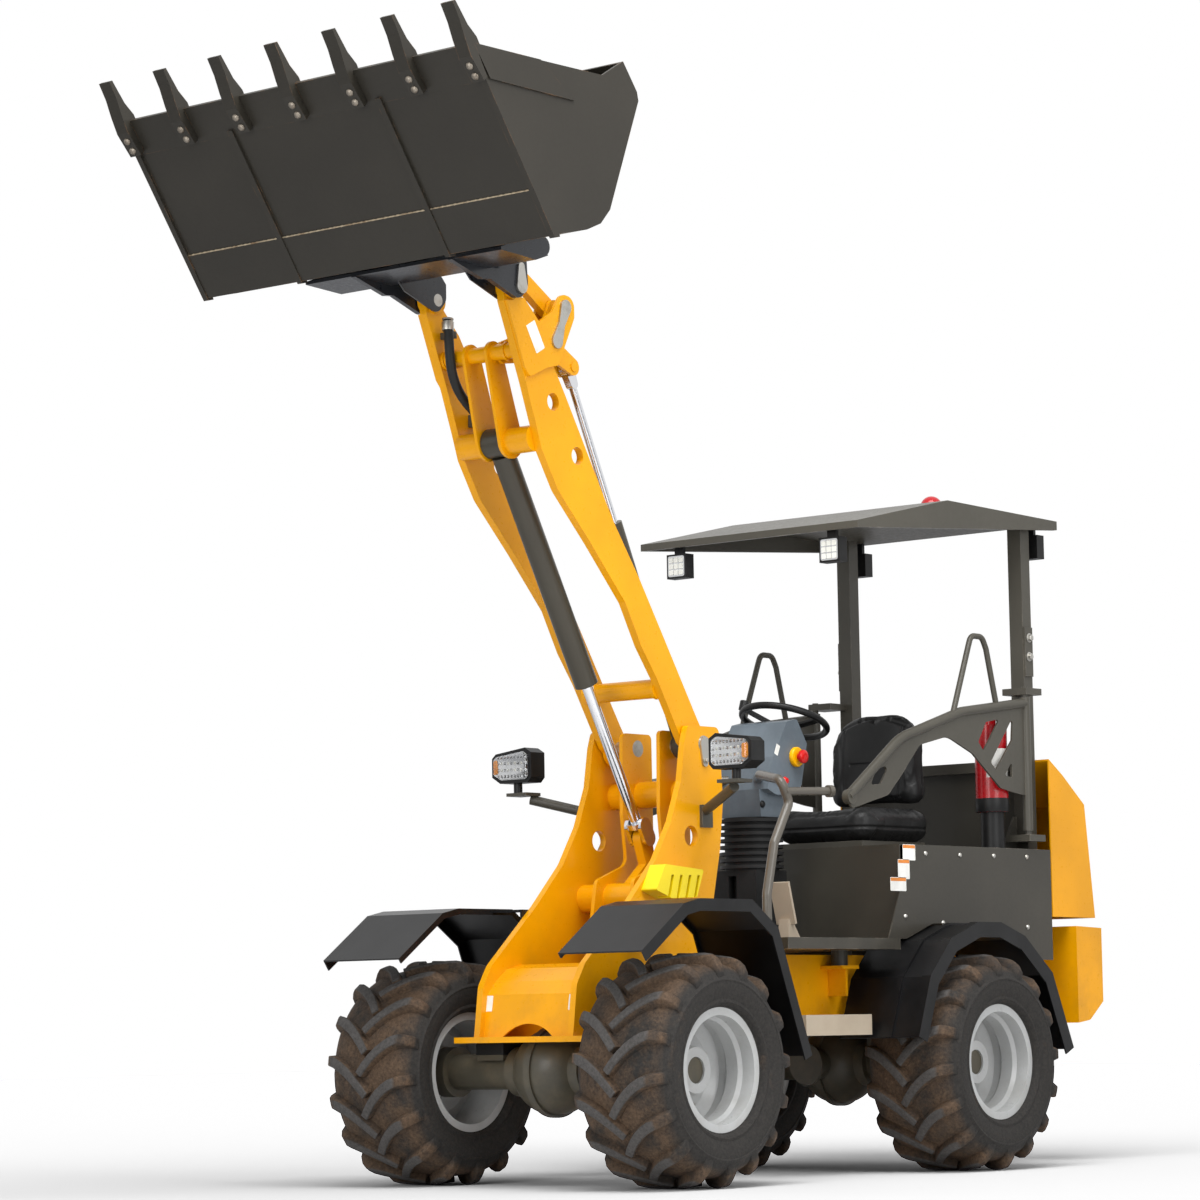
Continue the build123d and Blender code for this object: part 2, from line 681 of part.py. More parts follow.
def strip_line(wall):
    """Side-view line of the bucket's underside, from near its edge past the heel, moved out by a wall."""
    edge, heel, back = (Vector(*bucket_profile[number]) for number in range(3))
    start = heel + (edge - heel) * 0.84
    end = heel + (back - heel) * 0.12
    return offset_line([(start.X, start.Y), (heel.X, heel.Y), (end.X, end.Y)], wall)


def make_bucket():
    """Folded floor and back between two side plates, with cutters, lip plate, heel plate and wear strips."""
    half = bucket_half_width
    shell = bent(bucket_profile[::-1], bucket_sheet, bucket_side_wall - half, half - bucket_side_wall)
    side = plate(bucket_profile + bucket_rim, half - bucket_side_wall, half)
    cutter = [bucket_profile[0], cutter_joint, (776, 3545), bucket_rim[1]]
    side += plate(cutter, half, half + cutter_wall)
    bucket = shell + both_sides(side)
    edge, heel = Vector(*bucket_profile[0]), Vector(*bucket_profile[1])
    lip = bent([bucket_profile[0], cutter_joint], cutter_wall, -half, half)
    heel_end = heel + (edge - heel) * heel_plate_reach
    heel_plate = bent([(heel_end.X, heel_end.Y), (heel.X, heel.Y)], cutter_wall, -half, half)
    bucket += lip + heel_plate
    ends = (strip_width / 2 - half, half - strip_width / 2)
    for y in (*strip_places, *ends):
        outer, inner = strip_line(strip_wall), strip_line(0.0)
        bucket += plate(inner + outer[::-1], y - strip_width / 2, y + strip_width / 2)
    return bucket


def make_teeth():
    """Bolt-on teeth: a flat shank under the lip and a hollowed point ahead of it."""
    edge = Vector(*bucket_profile[0])
    heel = Vector(*bucket_profile[1])
    run = (edge - heel).normalized()
    under = Vector(run.Y, -run.X)
    tooth_rows = ((-118.0, cutter_wall), (-40.0, 0.0), (-40.0, -22.0), (10.0, -24.0), (60.0, -8.0),
                  (150.0, 0.0), (152.0, 14.0), (90.0, 18.0), (30.0, 30.0), (-30.0, 38.0), (-122.0, 26.0))
    rows = []
    for ahead, below in tooth_rows:
        spot = edge + run * ahead + under * below
        rows.append((spot.X, spot.Y))
    teeth = None
    for number in range(tooth_count):
        middle = (number - (tooth_count - 1) / 2) * tooth_pitch
        tooth = plate(rows, middle - tooth_width / 2, middle + tooth_width / 2)
        teeth = tooth if teeth is None else teeth + tooth
    return teeth


def make_hitch():
    """Quick hitch: side plates on the boom's pins, link lugs and a cross tube behind the bucket."""
    lug_low = linkage_y + link_width / 2 + side_gap
    lug_high = arm_outer - arm_wall - 8.0 - pin_gap
    back = [(*corner, 0) for corner in bucket_profile[2:5]]
    back.append((*along(bucket_profile[4], 90.0, rise_of(bucket_profile[4], bucket_profile[5])), 0))
    front = [(362, 3213, 0), (352, 3060, 40), (396, 3012, 38), (548, 3064, 0), (586, 3060, 0)]
    side = plate(front + [(740, 3105, 0)] + back + [(400, 3282, 0)], hitch_outer - hitch_wall, hitch_outer)
    lug = [(348, 3120, 0), (348, 3060, 40), (396, 3012, 38), (560, 3070, 0)] + back[1:]
    inner = plate(lug + [(500, 3282, 0)], lug_low, lug_high)
    hitch = both_sides(side + inner - bar_y(bucket_pivot, bucket_pin_radius, 0.0, 400.0))
    hitch += bar_y(hitch_tube, hitch_tube_radius, -hitch_half, hitch_half)
    hitch += plate([(560, 3098), (738, 3108), (738, 3119), (560, 3110)], -hitch_half, hitch_half)
    hitch += plate([(560, 3098), (560, 3110), (512, 3134), (505, 3124)], -hitch_half, hitch_half)
    ends = plate([(500, 3120), (560, 3098), (738, 3108), (738, 3119), (640, 3155), (590, 3200), (524, 3184)],
                 hitch_half - 12.0, hitch_half)
    hitch += both_sides(ends)
    hitch += both_sides(bar_y(hitch_lock, 24.0, hitch_outer, hitch_outer + 10.0))
    for sign in (1, -1):
        near = linkage_y + sign * (link_width / 2 + cheek_gap)
        low, high = sorted((near, near + sign * 8.0))
        hitch += capsule(link_end, hitch_tube, 28.0, hitch_tube_radius, low, high)
    return hitch


# Rear frame and body

def make_rear_frame():
    """Chassis rails, cross members and the steering boss."""
    back = frame_back
    front = pivot_x - 90.0
    rail = plate([(front, rail_low), (front, rail_high), (back, rail_high), (back, rail_low)],
                 rail_outer - rail_wall, rail_outer)
    frame = both_sides(rail)
    inside = rail_outer - rail_wall
    cross_members = (
        (front - rail_wall, rail_low, rail_high),
        (-1400.0, 600.0, rail_high),
        (back, rail_low, rail_high),
    )
    for x, low, high in cross_members:
        frame += block(x, x + rail_wall, -inside, inside, low, high)
    tongue_low, tongue_high = pivot_boss_low + 60.0, pivot_boss_high - 60.0
    frame += block(front - rail_wall, pivot_x, -60.0, 60.0, tongue_low, tongue_high)
    frame += bar_z(pivot_x, 0, pivot_boss_radius, pivot_boss_low, pivot_boss_high)
    frame -= bar_z(pivot_x, 0, pivot_pin_radius + running_fit, pivot_boss_low - 1, pivot_boss_high + 1)
    for x in (-1900.0, -2400.0):
        frame += block(x, x + 50.0, -inside, inside, engine_low - 20.0, engine_low)
    pads = both_sides(block(-wheelbase - 70.0, -wheelbase + 70.0, 220.0, rail_outer, axle_pad_top, rail_low))
    brackets = both_sides(block(-1230.0, -1130.0, rail_outer, rail_outer + 100.0, 738.0, 750.0) + block(
        -1186.0, -1174.0, rail_outer, rail_outer + 80.0, 640.0, 738.0))
    return frame + pads + brackets


def make_engine():
    """Engine, as one block."""
    return block(-2440.0, -1750.0, -250.0, 250.0, engine_low, seat_box_top - 30.0)


def make_counterweight():
    """Cast counterweight across the tail, its rear corners cut off."""
    outline = [(frame_back, 900, 0), (-2705, 892, 12), (-2728, 860, 12), (-2715, 656, 12), (-2560, 540, 30),
               (frame_back, 530, 0)]
    half = body_half + 20.0
    corner = half - 90.0
    weight = plate(outline, -half, half)
    plan = make_face(Polyline((frame_back, -half), (frame_back, half), (-2655, half), (-2760, corner),
                              (-2760, -corner), (-2655, -half), close=True))
    return weight & Pos(0, 0, 500.0) * extrude(plan, amount=420.0)


def make_floor():
    """Cab floor with two wings beside the mast's swing."""
    low = floor_top - floor_wall
    floor = block(floor_back, -800.0, -floor_half, floor_half, low, floor_top)
    floor += block(seat_box_front, -900.0, -330.0, 330.0, low, floor_top)
    wing = make_face(Polyline((-800, 330), (-760, 330), (-620, floor_half - 105), (-620, floor_half),
                              (-800, floor_half), close=True))
    wings = both_sides(Pos(0, 0, low) * extrude(wing, amount=floor_wall))
    mounts = both_sides(bar_z(-1180.0, rail_outer + 50.0, 30.0, 750.0, low))
    mounts += both_sides(bar_z(-1300.0, rail_outer - 20.0, 30.0, rail_high, low))
    return floor + wings + mounts


def make_seat_box():
    """Seat deck with its front wall, between the side panels, and the bulkhead ahead of the hood."""
    inside = body_half - panel_wall
    front = seat_box_front + panel_wall
    deck = block(deck_back, front, -inside, inside, seat_box_top - panel_wall, seat_box_top)
    reach = post_y - post_side / 2
    bulkhead = block(deck_back + 12.0, deck_back + 17.0, -reach, reach, seat_box_top, 1500.0)
    return deck + bulkhead + block(seat_box_front, front, -inside, inside, floor_top, seat_box_top)


def make_side_panel():
    """Left side panel with the arch over the rear mudguard."""
    outline = [(floor_back + 10, floor_top), (-1435, seat_box_top), (deck_back, seat_box_top), (deck_back, 770),
               (-wheelbase - 260, 770), (-wheelbase - 260, floor_top)]
    arch = offset_line(rear_fender_line, fender_wall + fender_gap)
    arch = plate([(arch[0][0], 400)] + arch + [(arch[-1][0], 400)], 0.0, body_half + 1)
    return plate(outline, body_half - panel_wall, body_half) - arch


def make_seat():
    """Seat base, cushion and back, as plain solids."""
    low = seat_box_top + 30.0
    foot = seat_box_top + 155.0
    base = block(seat_back + 60.0, seat_front - 40.0, -200.0, 200.0, seat_box_top, low)
    cushion = block(seat_back, seat_front, -250.0, 250.0, low, foot)
    back_top = seat_box_top + 562.0
    back = plate([(seat_back + 20, foot), (seat_back + 130, foot), (seat_back + 100, back_top),
                  (seat_back + 20, back_top)], -230.0, 230.0)
    return base, cushion, back


def make_console():
    """Steering column housing, on a narrower neck."""
    head = plate([(-1060, 1400, 0), (-1100, 1520, 0), (-1186, 1652, 12), (-1245, 1664, 12), (-1304, 1575, 8),
                  (-1266, 1420, 8), (-1215, 1380, 0), (-1110, 1380, 0)], -130.0, 130.0)
    neck = plate([(-1062, bellows_high), (-1052, 1400), (-1215, 1400), (-1195, bellows_high)], -96.0, 96.0)
    return head + neck


def make_bellows():
    """Rubber boot between the console and its slotted foot."""
    body = bar_z(column_x, 0.0, bellows_radius - 18.0, bellows_low, bellows_high)
    pitch = (bellows_high - bellows_low) / fold_count
    for number in range(fold_count):
        z = bellows_low + number * pitch
        body += bar_z(column_x, 0.0, bellows_radius, z + pitch * 0.3, z + pitch * 0.8)
    foot = block(column_x - 90.0, column_x + 95.0, -110.0, 90.0, floor_top, bellows_low)
    slot = block(column_x + 60.0, column_x + 96.0, -36.0, 0.0, bellows_low - 105.0, bellows_low - 20.0)
    return body + foot - slot


def make_steering_wheel():
    """Dished three-spoke wheel on its tilted column."""
    hub = Plane(origin=(wheel_hub[0], 0.0, wheel_hub[1]), z_dir=(-0.33, 0.0, 0.944))
    wheel = hub * Torus(wheel_reach, wheel_grip)
    boss = hub * Pos(0, 0, -32.0) * Cylinder(44.0, 24.0)
    for turn in (90.0, 210.0, 330.0):
        wheel += hub * Rot(0, 0, turn) * Pos(wheel_reach / 2 + 16.0, 0, -16.0) * Rot(0, -11.0, 0) * Box(
            wheel_reach - 40.0, 30.0, 9.0)
    knob = hub * Pos(wheel_reach * 0.72, -wheel_reach * 0.7, 24.0) * Cylinder(17.0, 34.0)
    column = hub * Pos(0, 0, -110.0) * Cylinder(24.0, 150.0)
    return wheel + boss + knob + column


def make_handrail():
    """Left handrail in front of the console, with the short rail that meets the gate's latch."""
    y = body_half - 98.0
    points = [(-690.0, y, floor_top), (-690.0, y, 1000.0), (-740.0, y - 2.0, 1180.0),
              (-840.0, y - 7.0, 1330.0), (-800.0, y - 12.0, 1410.0), (-905.0, 215.0, 1440.0),
              (-1080.0, 70.0, 1440.0)]
    rail = tube_path(points, 17.0, 30.0)
    rail += bar((-815.0, y - 6.0, 1368.0), (-1030.0, y + 38.0, 1374.0), 15.0)
    return rail + bar((-1015.0, y + 35.0, 1373.5), (-1034.0, y + 39.0, 1374.0), 22.0)


def make_posts():
    """Two canopy posts on the body, with a fish-plate outside and a gusset at the foot."""
    half = post_side / 2
    post = block(post_x - half + 1.0, post_x + half, post_y - half, post_y + half, seat_box_top, 2462.0)
    post += block(post_x - 26.0, post_x + 26.0, post_y + half, post_y + half + 7.0, 1860.0, 2050.0)
    face = post_x + half
    gusset_top = seat_box_top + 130.0
    gusset = [(face, seat_box_top), (face + 96, seat_box_top), (face + 16, gusset_top), (face, gusset_top)]
    post += plate(gusset, post_y - half, post_y - half + 8.0)
    return both_sides(post)


def make_roof():
    """Canopy roof, a shallow tray turned down at its front and sides."""
    back_top = roof_top - 18.0
    outline = [(-1134, 2335), (-1134, 2361), (-1707, roof_top), (roof_back, back_top), (roof_back, 2432)]
    shell = plate(outline, -roof_half, roof_half)
    under = roof_top - roof_sheet
    inside = plate([(-1160, 2300), (-1160, 2354), (-1709, under), (roof_back - 1, under - 18),
                    (roof_back - 1, 2300)], -roof_half + 20.0, roof_half - 20.0)
    return shell - inside


def make_gate():
    """Left side gate: curved top tube with its grab loop, sheet with its cut-outs, and hinge tube."""
    y = body_half
    tip = (-1052.0, 1352.0)
    top = [tip, (-1380.0, 1578.0), (-1767.0, 1692.0), (gate_hinge_x, 1748.0)]
    tube = tube_path([(x, y, z) for x, z in top], gate_tube_radius, 300.0)
    edge = gate_hinge_x + 14
    sheet = plate([(-1056, 1352, 0), (-1380, 1574, 0), (-1767, 1688, 0), (edge, 1740, 0), (edge, 1394, 0),
                   (-2121, 1400, 10), (-2017, 1416, 40), (-1837, 1540, 60), (-1677, 1596, 120),
                   (-1497, 1557, 60), (-1374, 1437, 60), (-1293, 1366, 60), (-1062, 1308, 20)],
                  y - 4.0, y + 4.0)
    cut_outs = (
        [(-1308, 1480, 12), (-1220, 1454, 8), (-1185, 1398, 8), (-1247, 1404, 12)],
        [(-2023, 1678, 8), (-1930, 1662, 8), (-1876, 1585, 8), (-1910, 1551, 8)],
        [(-2110, 1690, 8), (-1955, 1512, 8), (-1989, 1483, 8), (-2100, 1600, 8)],
        [(-2096, 1520, 6), (-2046, 1466, 6), (-2096, 1458, 6)],
    )
    for corners in cut_outs:
        sheet -= plate(corners, y - 5.0, y + 5.0)
    loop = [(-1718.0, y, 1678.0), (-1830.0, y, 1940.0), (-1850.0, y, 1984.0), (-1922.0, y, 1984.0),
            (-1948.0, y, 1940.0), (-2008.0, y, 1724.0)]
    hinge = bar_z(gate_hinge_x, y, gate_tube_radius, 1260.0, 1768.0)
    latch = bar_y((-1060.0, 1352.0), 26.0, y - 14.0, y + 14.0)
    gate = tube + sheet + tube_path(loop, grab_tube_radius, 34.0) + hinge + latch
    return gate - bar_z(gate_hinge_x, y, gate_pin_radius + running_fit, 1200.0, 1800.0)


def make_gate_pins():
    """Hinge pins of both gates with their brackets to the posts."""
    half = post_side / 2
    pin = bar_z(gate_hinge_x, body_half, gate_pin_radius, 1220.0, 1810.0)
    for low in (1220.0, 1780.0):
        pin += block(post_x + half, gate_hinge_x + 20.0, post_y, body_half + 20.0, low, low + 25.0)
    return both_sides(pin)


def make_rear_fender():
    """Left rear mudguard."""
    top = max(z for x, z in rear_fender_line)
    sheet = bent(rear_fender_line, fender_wall, fender_inner, fender_outer)
    crown = offset_line(rear_fender_line, fender_wall)
    sheet += bent(crown, fender_rib, fender_outer - 38.0, fender_outer)
    sheet += bent(crown[3:], fender_rib, fender_outer - 145.0, fender_outer - 123.0)
    sheet += bent(rear_fender_line, -fender_skirt, fender_outer - fender_wall, fender_outer)
    back, front, inner = -wheelbase - 50.0, -wheelbase + 40.0, rail_outer - rail_wall
    bracket = block(back, front, inner, inner + 10.0, rail_high, top)
    return sheet + bracket + block(back, front, inner, fender_inner + 60.0, top - 8.0, top)


def make_steps():
    """Boarding steps below the floor on both sides, open channels with a row of holes in the tread."""
    inner = body_half - step_width
    step = block(step_back, step_front, inner, body_half, step_low, step_high)
    step -= block(step_back + step_wall, step_front - step_wall, inner - 1.0, body_half - step_wall,
                  step_low - 1.0, step_high - step_wall)
    pitch = (step_front - step_back - step_width) / (step_holes - 1)
    for number in range(step_holes):
        x = step_back + step_width / 2 + number * pitch
        step -= bar_z(x, inner + 32.0, step_hole_radius, step_high - step_wall - 1.0, step_high + 1.0)
    step += block(step_back, step_back + 65.0, rail_outer, inner + 10.0, step_low + 30.0, step_high - 5.0)
    return both_sides(step)


def make_hood():
    """Engine hood, open below and in front, with its hinge knuckles."""
    outline = [(-2352, 935), (-2352, 1539), (-2445, 1480), (-2590, 1371), (-2645, 933)]
    inner = [(-2340, 925), (-2340, 1535), (-2352, 1532), (-2443, 1473), (-2583, 1368), (-2638, 925)]
    inside = hood_half - hood_wall
    hood = plate(outline, -hood_half, hood_half) - plate(inner, -inside, inside)
    for y in (-hood_hinge_y, hood_hinge_y):
        hood += bar_y(hood_hinge, 14.0, y - 40.0, y + 40.0)
        hood -= bar_y(hood_hinge, hood_pin_radius + running_fit, y - 41.0, y + 41.0)
    return hood


def make_hood_hinge():
    """Hinge pins and the rail that carries the hood."""
    reach = post_y - post_side / 2
    rail = block(-2334.0, -2300.0, -reach, reach, 1500.0, 1540.0)
    for y in (-hood_hinge_y, hood_hinge_y):
        rail += bar_y(hood_hinge, hood_pin_radius, y - 70.0, y + 70.0)
        for low in (y - 70.0, y + 45.0):
            ear = [(-2372, 1541), (-2372, 1556), (-2340, 1556), (-2334, 1540), (-2334, 1512), (-2344, 1512)]
            rail += plate(ear + [(-2346, 1543)], low, low + 25.0)
    return rail


def make_beacon():
    """Warning beacon on the roof."""
    x, middle = -2324.0, roof_top + 76.0
    dome = Pos(x, 0.0, middle) * Sphere(44.0) + bar_z(x, 0.0, 44.0, roof_top, middle)
    return dome + bar_z(x, 0.0, 48.0, roof_top - 24.0, roof_top + 20.0)


def make_extinguisher():
    """Extinguisher behind the left gate, on its stand."""
    y = body_half - 80.0
    low, high = seat_box_top + 140.0, seat_box_top + 470.0
    body = bar_z(-2080.0, y, 62.0, low, high) + bar_z(-2080.0, y, 22.0, high, high + 55.0)
    return body + bar_z(-2080.0, y, 44.0, seat_box_top, low)


def make_roof_lamps():
    """Four square work lamps under the roof's corners."""
    lamps = None
    lamp_rows = (
        (-1185.0, roof_half - 150.0, 2268.0, 2364.0),
        (-2400.0, roof_half - 98.0, 2368.0, 2462.0),
    )
    for x, y, z, top in lamp_rows:
        lamp = block(x - 24.0, x + 24.0, y - 46.0, y + 46.0, z - 46.0, z + 46.0)
        lamp = both_sides(lamp + block(x - 8.0, x + 8.0, y - 20.0, y + 20.0, z + 46.0, top))
        lamps = lamp if lamps is None else lamps + lamp
    return lamps


def make_pedal():
    """Tilted drive pedal on its floor bracket."""
    pad = plate([(-1010, 905), (-1000, 900), (-960, 1050), (-970, 1054)], 205.0, 290.0)
    return pad + plate([(-1060, floor_top), (-985, floor_top), (-985, 920), (-1006, 920)], 225.0, 270.0)


# Whole machine, one node per piece

def build_nodes():
    """Every node by name, placed."""
    tyre, rim = make_tyre(), make_rim()
    base, cushion, back = make_seat()
    console, roof = make_console(), make_roof()
    nodes = {}
    for name, x in (("front", 0.0), ("rear", -wheelbase)):
        for side, sign in (("left", 1), ("right", -1)):
            for piece, shape in (("tyre", tyre), ("rim", rim)):
                placed = Pos(x, track / 2, tyre_radius) * shape
                nodes[f"{piece}_{name}_{side}"] = placed if sign > 0 else mirror(placed, about=Plane.XZ)
        nodes[f"{name}_axle"] = make_axle(x, -1 if name == "front" else 1)
    nodes["mast_plates"] = make_mast_plates()
    nodes["mast_core"] = make_mast_core()
    nodes["nose_plate"] = make_nose()
    nodes["steering_yoke"] = make_yoke()
    nodes["boom_pins"] = make_boom_pins()
    nodes["wheel_chock"] = make_chock()
    nodes["front_fenders"] = both_sides(make_front_fender() + make_fender_bracket())
    nodes["headlamps"] = both_sides(make_headlamp())
    nodes["lamp_arms"] = both_sides(make_lamp_arm())
    boom = make_boom()
    nodes["boom"] = boom
    nodes["head_pins"] = make_head_pins()
    nodes["head_hose"] = make_head_hose() - boom
    nodes["lift_barrel"] = make_barrel(lift_eye, lift_foot, 0.0, lift_barrel_radius, lift_barrel_length,
                                       52.0, lift_pin_radius, lift_rod_radius, web_inner - 3.0)
    nodes["lift_rod"] = make_lift_rod()
    nodes["tilt_barrel"] = make_barrel(boom_pivot, lever_end, linkage_y, tilt_barrel_radius,
                                       tilt_barrel_length, 46.0, boom_pin_radius, tilt_rod_radius,
                                       link_width / 2)
    nodes["tilt_rod"] = make_tilt_rod()
    nodes["rocker"] = make_rocker()
    nodes["tilt_link"] = make_link()
    nodes["hitch"] = make_hitch()
    nodes["hitch_pins"] = make_hitch_pins()
    bucket = make_bucket()
    nodes["bucket"] = bucket
    nodes["bucket_teeth"] = make_teeth() - bucket
    nodes["rear_frame"] = make_rear_frame()
    nodes["engine"] = make_engine()
    nodes["counterweight"] = make_counterweight()
    nodes["floor"] = make_floor()
    nodes["seat_box"] = make_seat_box()
    nodes["side_panels"] = both_sides(make_side_panel())
    nodes["seat_base"] = base
    nodes["seat_cushion"] = cushion
    nodes["seat_back"] = back
    nodes["console"] = console
    nodes["bellows"] = make_bellows()
    nodes["steering_wheel"] = make_steering_wheel() - console
    nodes["handrails"] = both_sides(make_handrail() - console)
    nodes["roof_posts"] = make_posts() - roof
    nodes["roof"] = roof
    nodes["roof_lamps"] = make_roof_lamps() - roof
    nodes["beacon"] = make_beacon() - roof
    nodes["extinguisher"] = make_extinguisher()
    gate = make_gate()
    nodes["gate_left"] = gate
    nodes["gate_right"] = mirror(gate, about=Plane.XZ)
    nodes["gate_pins"] = make_gate_pins()
    nodes["rear_fenders"] = both_sides(make_rear_fender())
    nodes["steps"] = make_steps()
    nodes["pedal"] = make_pedal()
    nodes["hood"] = make_hood()
    nodes["hood_hinge"] = make_hood_hinge()
    return nodes


nodes = build_nodes()
extents = [piece.bounding_box() for piece in nodes.values()]
middle = (min(box.min.X for box in extents) + max(box.max.X for box in extents)) / 2
os.makedirs("parts", exist_ok=True)
for name, piece in nodes.items():
    export_step(Pos(-middle, 0, 0) * piece, f"parts/{name}.step")
print("origin shift", round(-middle, 3), "nodes", len(nodes))
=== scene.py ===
import math
import bmesh
import bpy
from mathutils import Matrix, Vector


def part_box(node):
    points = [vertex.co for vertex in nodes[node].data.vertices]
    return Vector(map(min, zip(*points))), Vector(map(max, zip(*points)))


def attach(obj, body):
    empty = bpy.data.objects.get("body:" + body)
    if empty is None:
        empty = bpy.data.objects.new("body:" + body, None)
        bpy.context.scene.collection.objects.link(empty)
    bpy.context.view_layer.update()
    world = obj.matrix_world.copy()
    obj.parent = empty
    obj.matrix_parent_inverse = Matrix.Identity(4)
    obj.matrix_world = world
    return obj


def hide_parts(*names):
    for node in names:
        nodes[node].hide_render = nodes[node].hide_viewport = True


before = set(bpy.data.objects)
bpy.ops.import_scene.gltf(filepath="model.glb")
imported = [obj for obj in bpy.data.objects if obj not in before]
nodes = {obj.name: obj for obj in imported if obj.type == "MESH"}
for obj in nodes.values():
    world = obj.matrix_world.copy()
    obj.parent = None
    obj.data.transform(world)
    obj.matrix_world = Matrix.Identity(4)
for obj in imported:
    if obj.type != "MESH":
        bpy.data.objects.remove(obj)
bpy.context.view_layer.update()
print("frame loaded", len(nodes))

wheelCorners = ("front_left", "front_right", "rear_left", "rear_right")
bothSides = ((1, "left"), (-1, "right"))


def middleOf(node):
    low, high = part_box(node)
    return (low + high) / 2


# The frame's origin is the middle of the length. Places below are from the front axle, in metres.
axleX = middleOf("rim_front_left").x


def at(x, y, z):
    return Vector((x + axleX, y, z))


# Colours and nodes

def srgb(code, shade=1.0):
    values = [int(code[i:i + 2], 16) / 255 for i in (0, 2, 4)]
    return [shade * (v / 12.92 if v <= 0.04045 else ((v + 0.055) / 1.055) ** 2.4) for v in values] + [1.0]


def scaleFor(millimetres):
    # a pattern's scale on Object coordinates, from the real size of one spot
    return 1000.0 / millimetres


def addNode(tree, kind, inputs, **settings):
    # an input is another node's output, which is linked, or a plain value
    node = tree.nodes.new(kind)
    for name, value in settings.items():
        setattr(node, name, value)
    for socket, value in inputs.items():
        if isinstance(value, bpy.types.NodeSocket):
            tree.links.new(value, node.inputs[socket])
        else:
            node.inputs[socket].default_value = value
    return node


def newMaterial(name, shader):
    material = bpy.data.materials.new(name)
    material.use_nodes = True
    tree = material.node_tree
    principled = tree.nodes["Principled BSDF"]
    for socket, value in shader.items():
        principled.inputs[socket].default_value = value
    coords = addNode(tree, "ShaderNodeTexCoord", {}).outputs["Object"]
    return material, tree, principled, coords


def paintMaterial(name, colour, dirt, roughness, dirtAmount, wear=None, coat=0.3):
    # two-pack enamel, sprayed: slight shade changes, fine orange peel, dust low down, rubbed edges
    shader = {"Coat Weight": coat, "Coat Roughness": 0.12, "Specular IOR Level": 0.3}
    material, tree, principled, coords = newMaterial(name, shader)
    noise = {}
    for key, size, detail, rough in (("shade", 333.3, 3.0, 0.5), ("fine", 16.67, 6.0, 0.7),
                                     ("blotch", 111.1, 8.0, 0.65), ("peel", 2.381, 2.0, 0.5)):
        settings = {"Vector": coords, "Scale": scaleFor(size), "Detail": detail, "Roughness": rough}
        noise[key] = addNode(tree, "ShaderNodeTexNoise", settings).outputs["Fac"]
    toned = addNode(tree, "ShaderNodeMapRange", {"Value": noise["shade"], 1: 0.35, 2: 0.65})
    tone = addNode(tree, "ShaderNodeMix", {0: toned.outputs[0], 6: srgb(colour), 7: srgb(colour, 0.86)},
                   data_type="RGBA")
    split = addNode(tree, "ShaderNodeSeparateXYZ", {"Vector": coords})
    lowDown = addNode(tree, "ShaderNodeMapRange", {"Value": split.outputs["Z"], 1: 1.1, 2: 0.2})
    patches = addNode(tree, "ShaderNodeMapRange", {"Value": noise["blotch"], 1: 0.45, 2: 0.75})
    dirty = addNode(tree, "ShaderNodeMath", {0: patches.outputs[0], 1: lowDown.outputs[0]},
                    operation="MULTIPLY")
    share = addNode(tree, "ShaderNodeMath", {0: dirty.outputs[0], 1: dirtAmount}, operation="MULTIPLY")
    finish = addNode(tree, "ShaderNodeMix", {0: share.outputs[0], 6: tone.outputs[2], 7: srgb(dirt)},
                     data_type="RGBA")
    if wear:
        bevel = addNode(tree, "ShaderNodeBevel", {"Radius": 0.004}, samples=6)
        normal = addNode(tree, "ShaderNodeNewGeometry", {}).outputs["Normal"]
        flatness = addNode(tree, "ShaderNodeVectorMath", {0: bevel.outputs[0], 1: normal},
                           operation="DOT_PRODUCT")
        edges = addNode(tree, "ShaderNodeMapRange", {"Value": flatness.outputs["Value"], 1: 0.98, 2: 0.65})
        chips = addNode(tree, "ShaderNodeMapRange", {"Value": noise["blotch"], 1: 0.5, 2: 0.62})
        scuffs = addNode(tree, "ShaderNodeMath", {0: edges.outputs[0], 1: chips.outputs[0]},
                         operation="MULTIPLY")
        finish = addNode(tree, "ShaderNodeMix", {0: scuffs.outputs[0], 6: finish.outputs[2], 7: srgb(wear)},
                         data_type="RGBA")
    tree.links.new(finish.outputs[2], principled.inputs["Base Color"])
    sheen = {"Value": noise["fine"], 1: 0.3, 2: 0.7, 3: roughness - 0.06, 4: roughness + 0.1}
    tree.links.new(addNode(tree, "ShaderNodeMapRange", sheen).outputs[0], principled.inputs["Roughness"])
    bump = addNode(tree, "ShaderNodeBump", {"Height": noise["peel"], "Strength": 0.06, "Distance": 0.001})
    tree.links.new(bump.outputs[0], principled.inputs["Normal"])
    return material


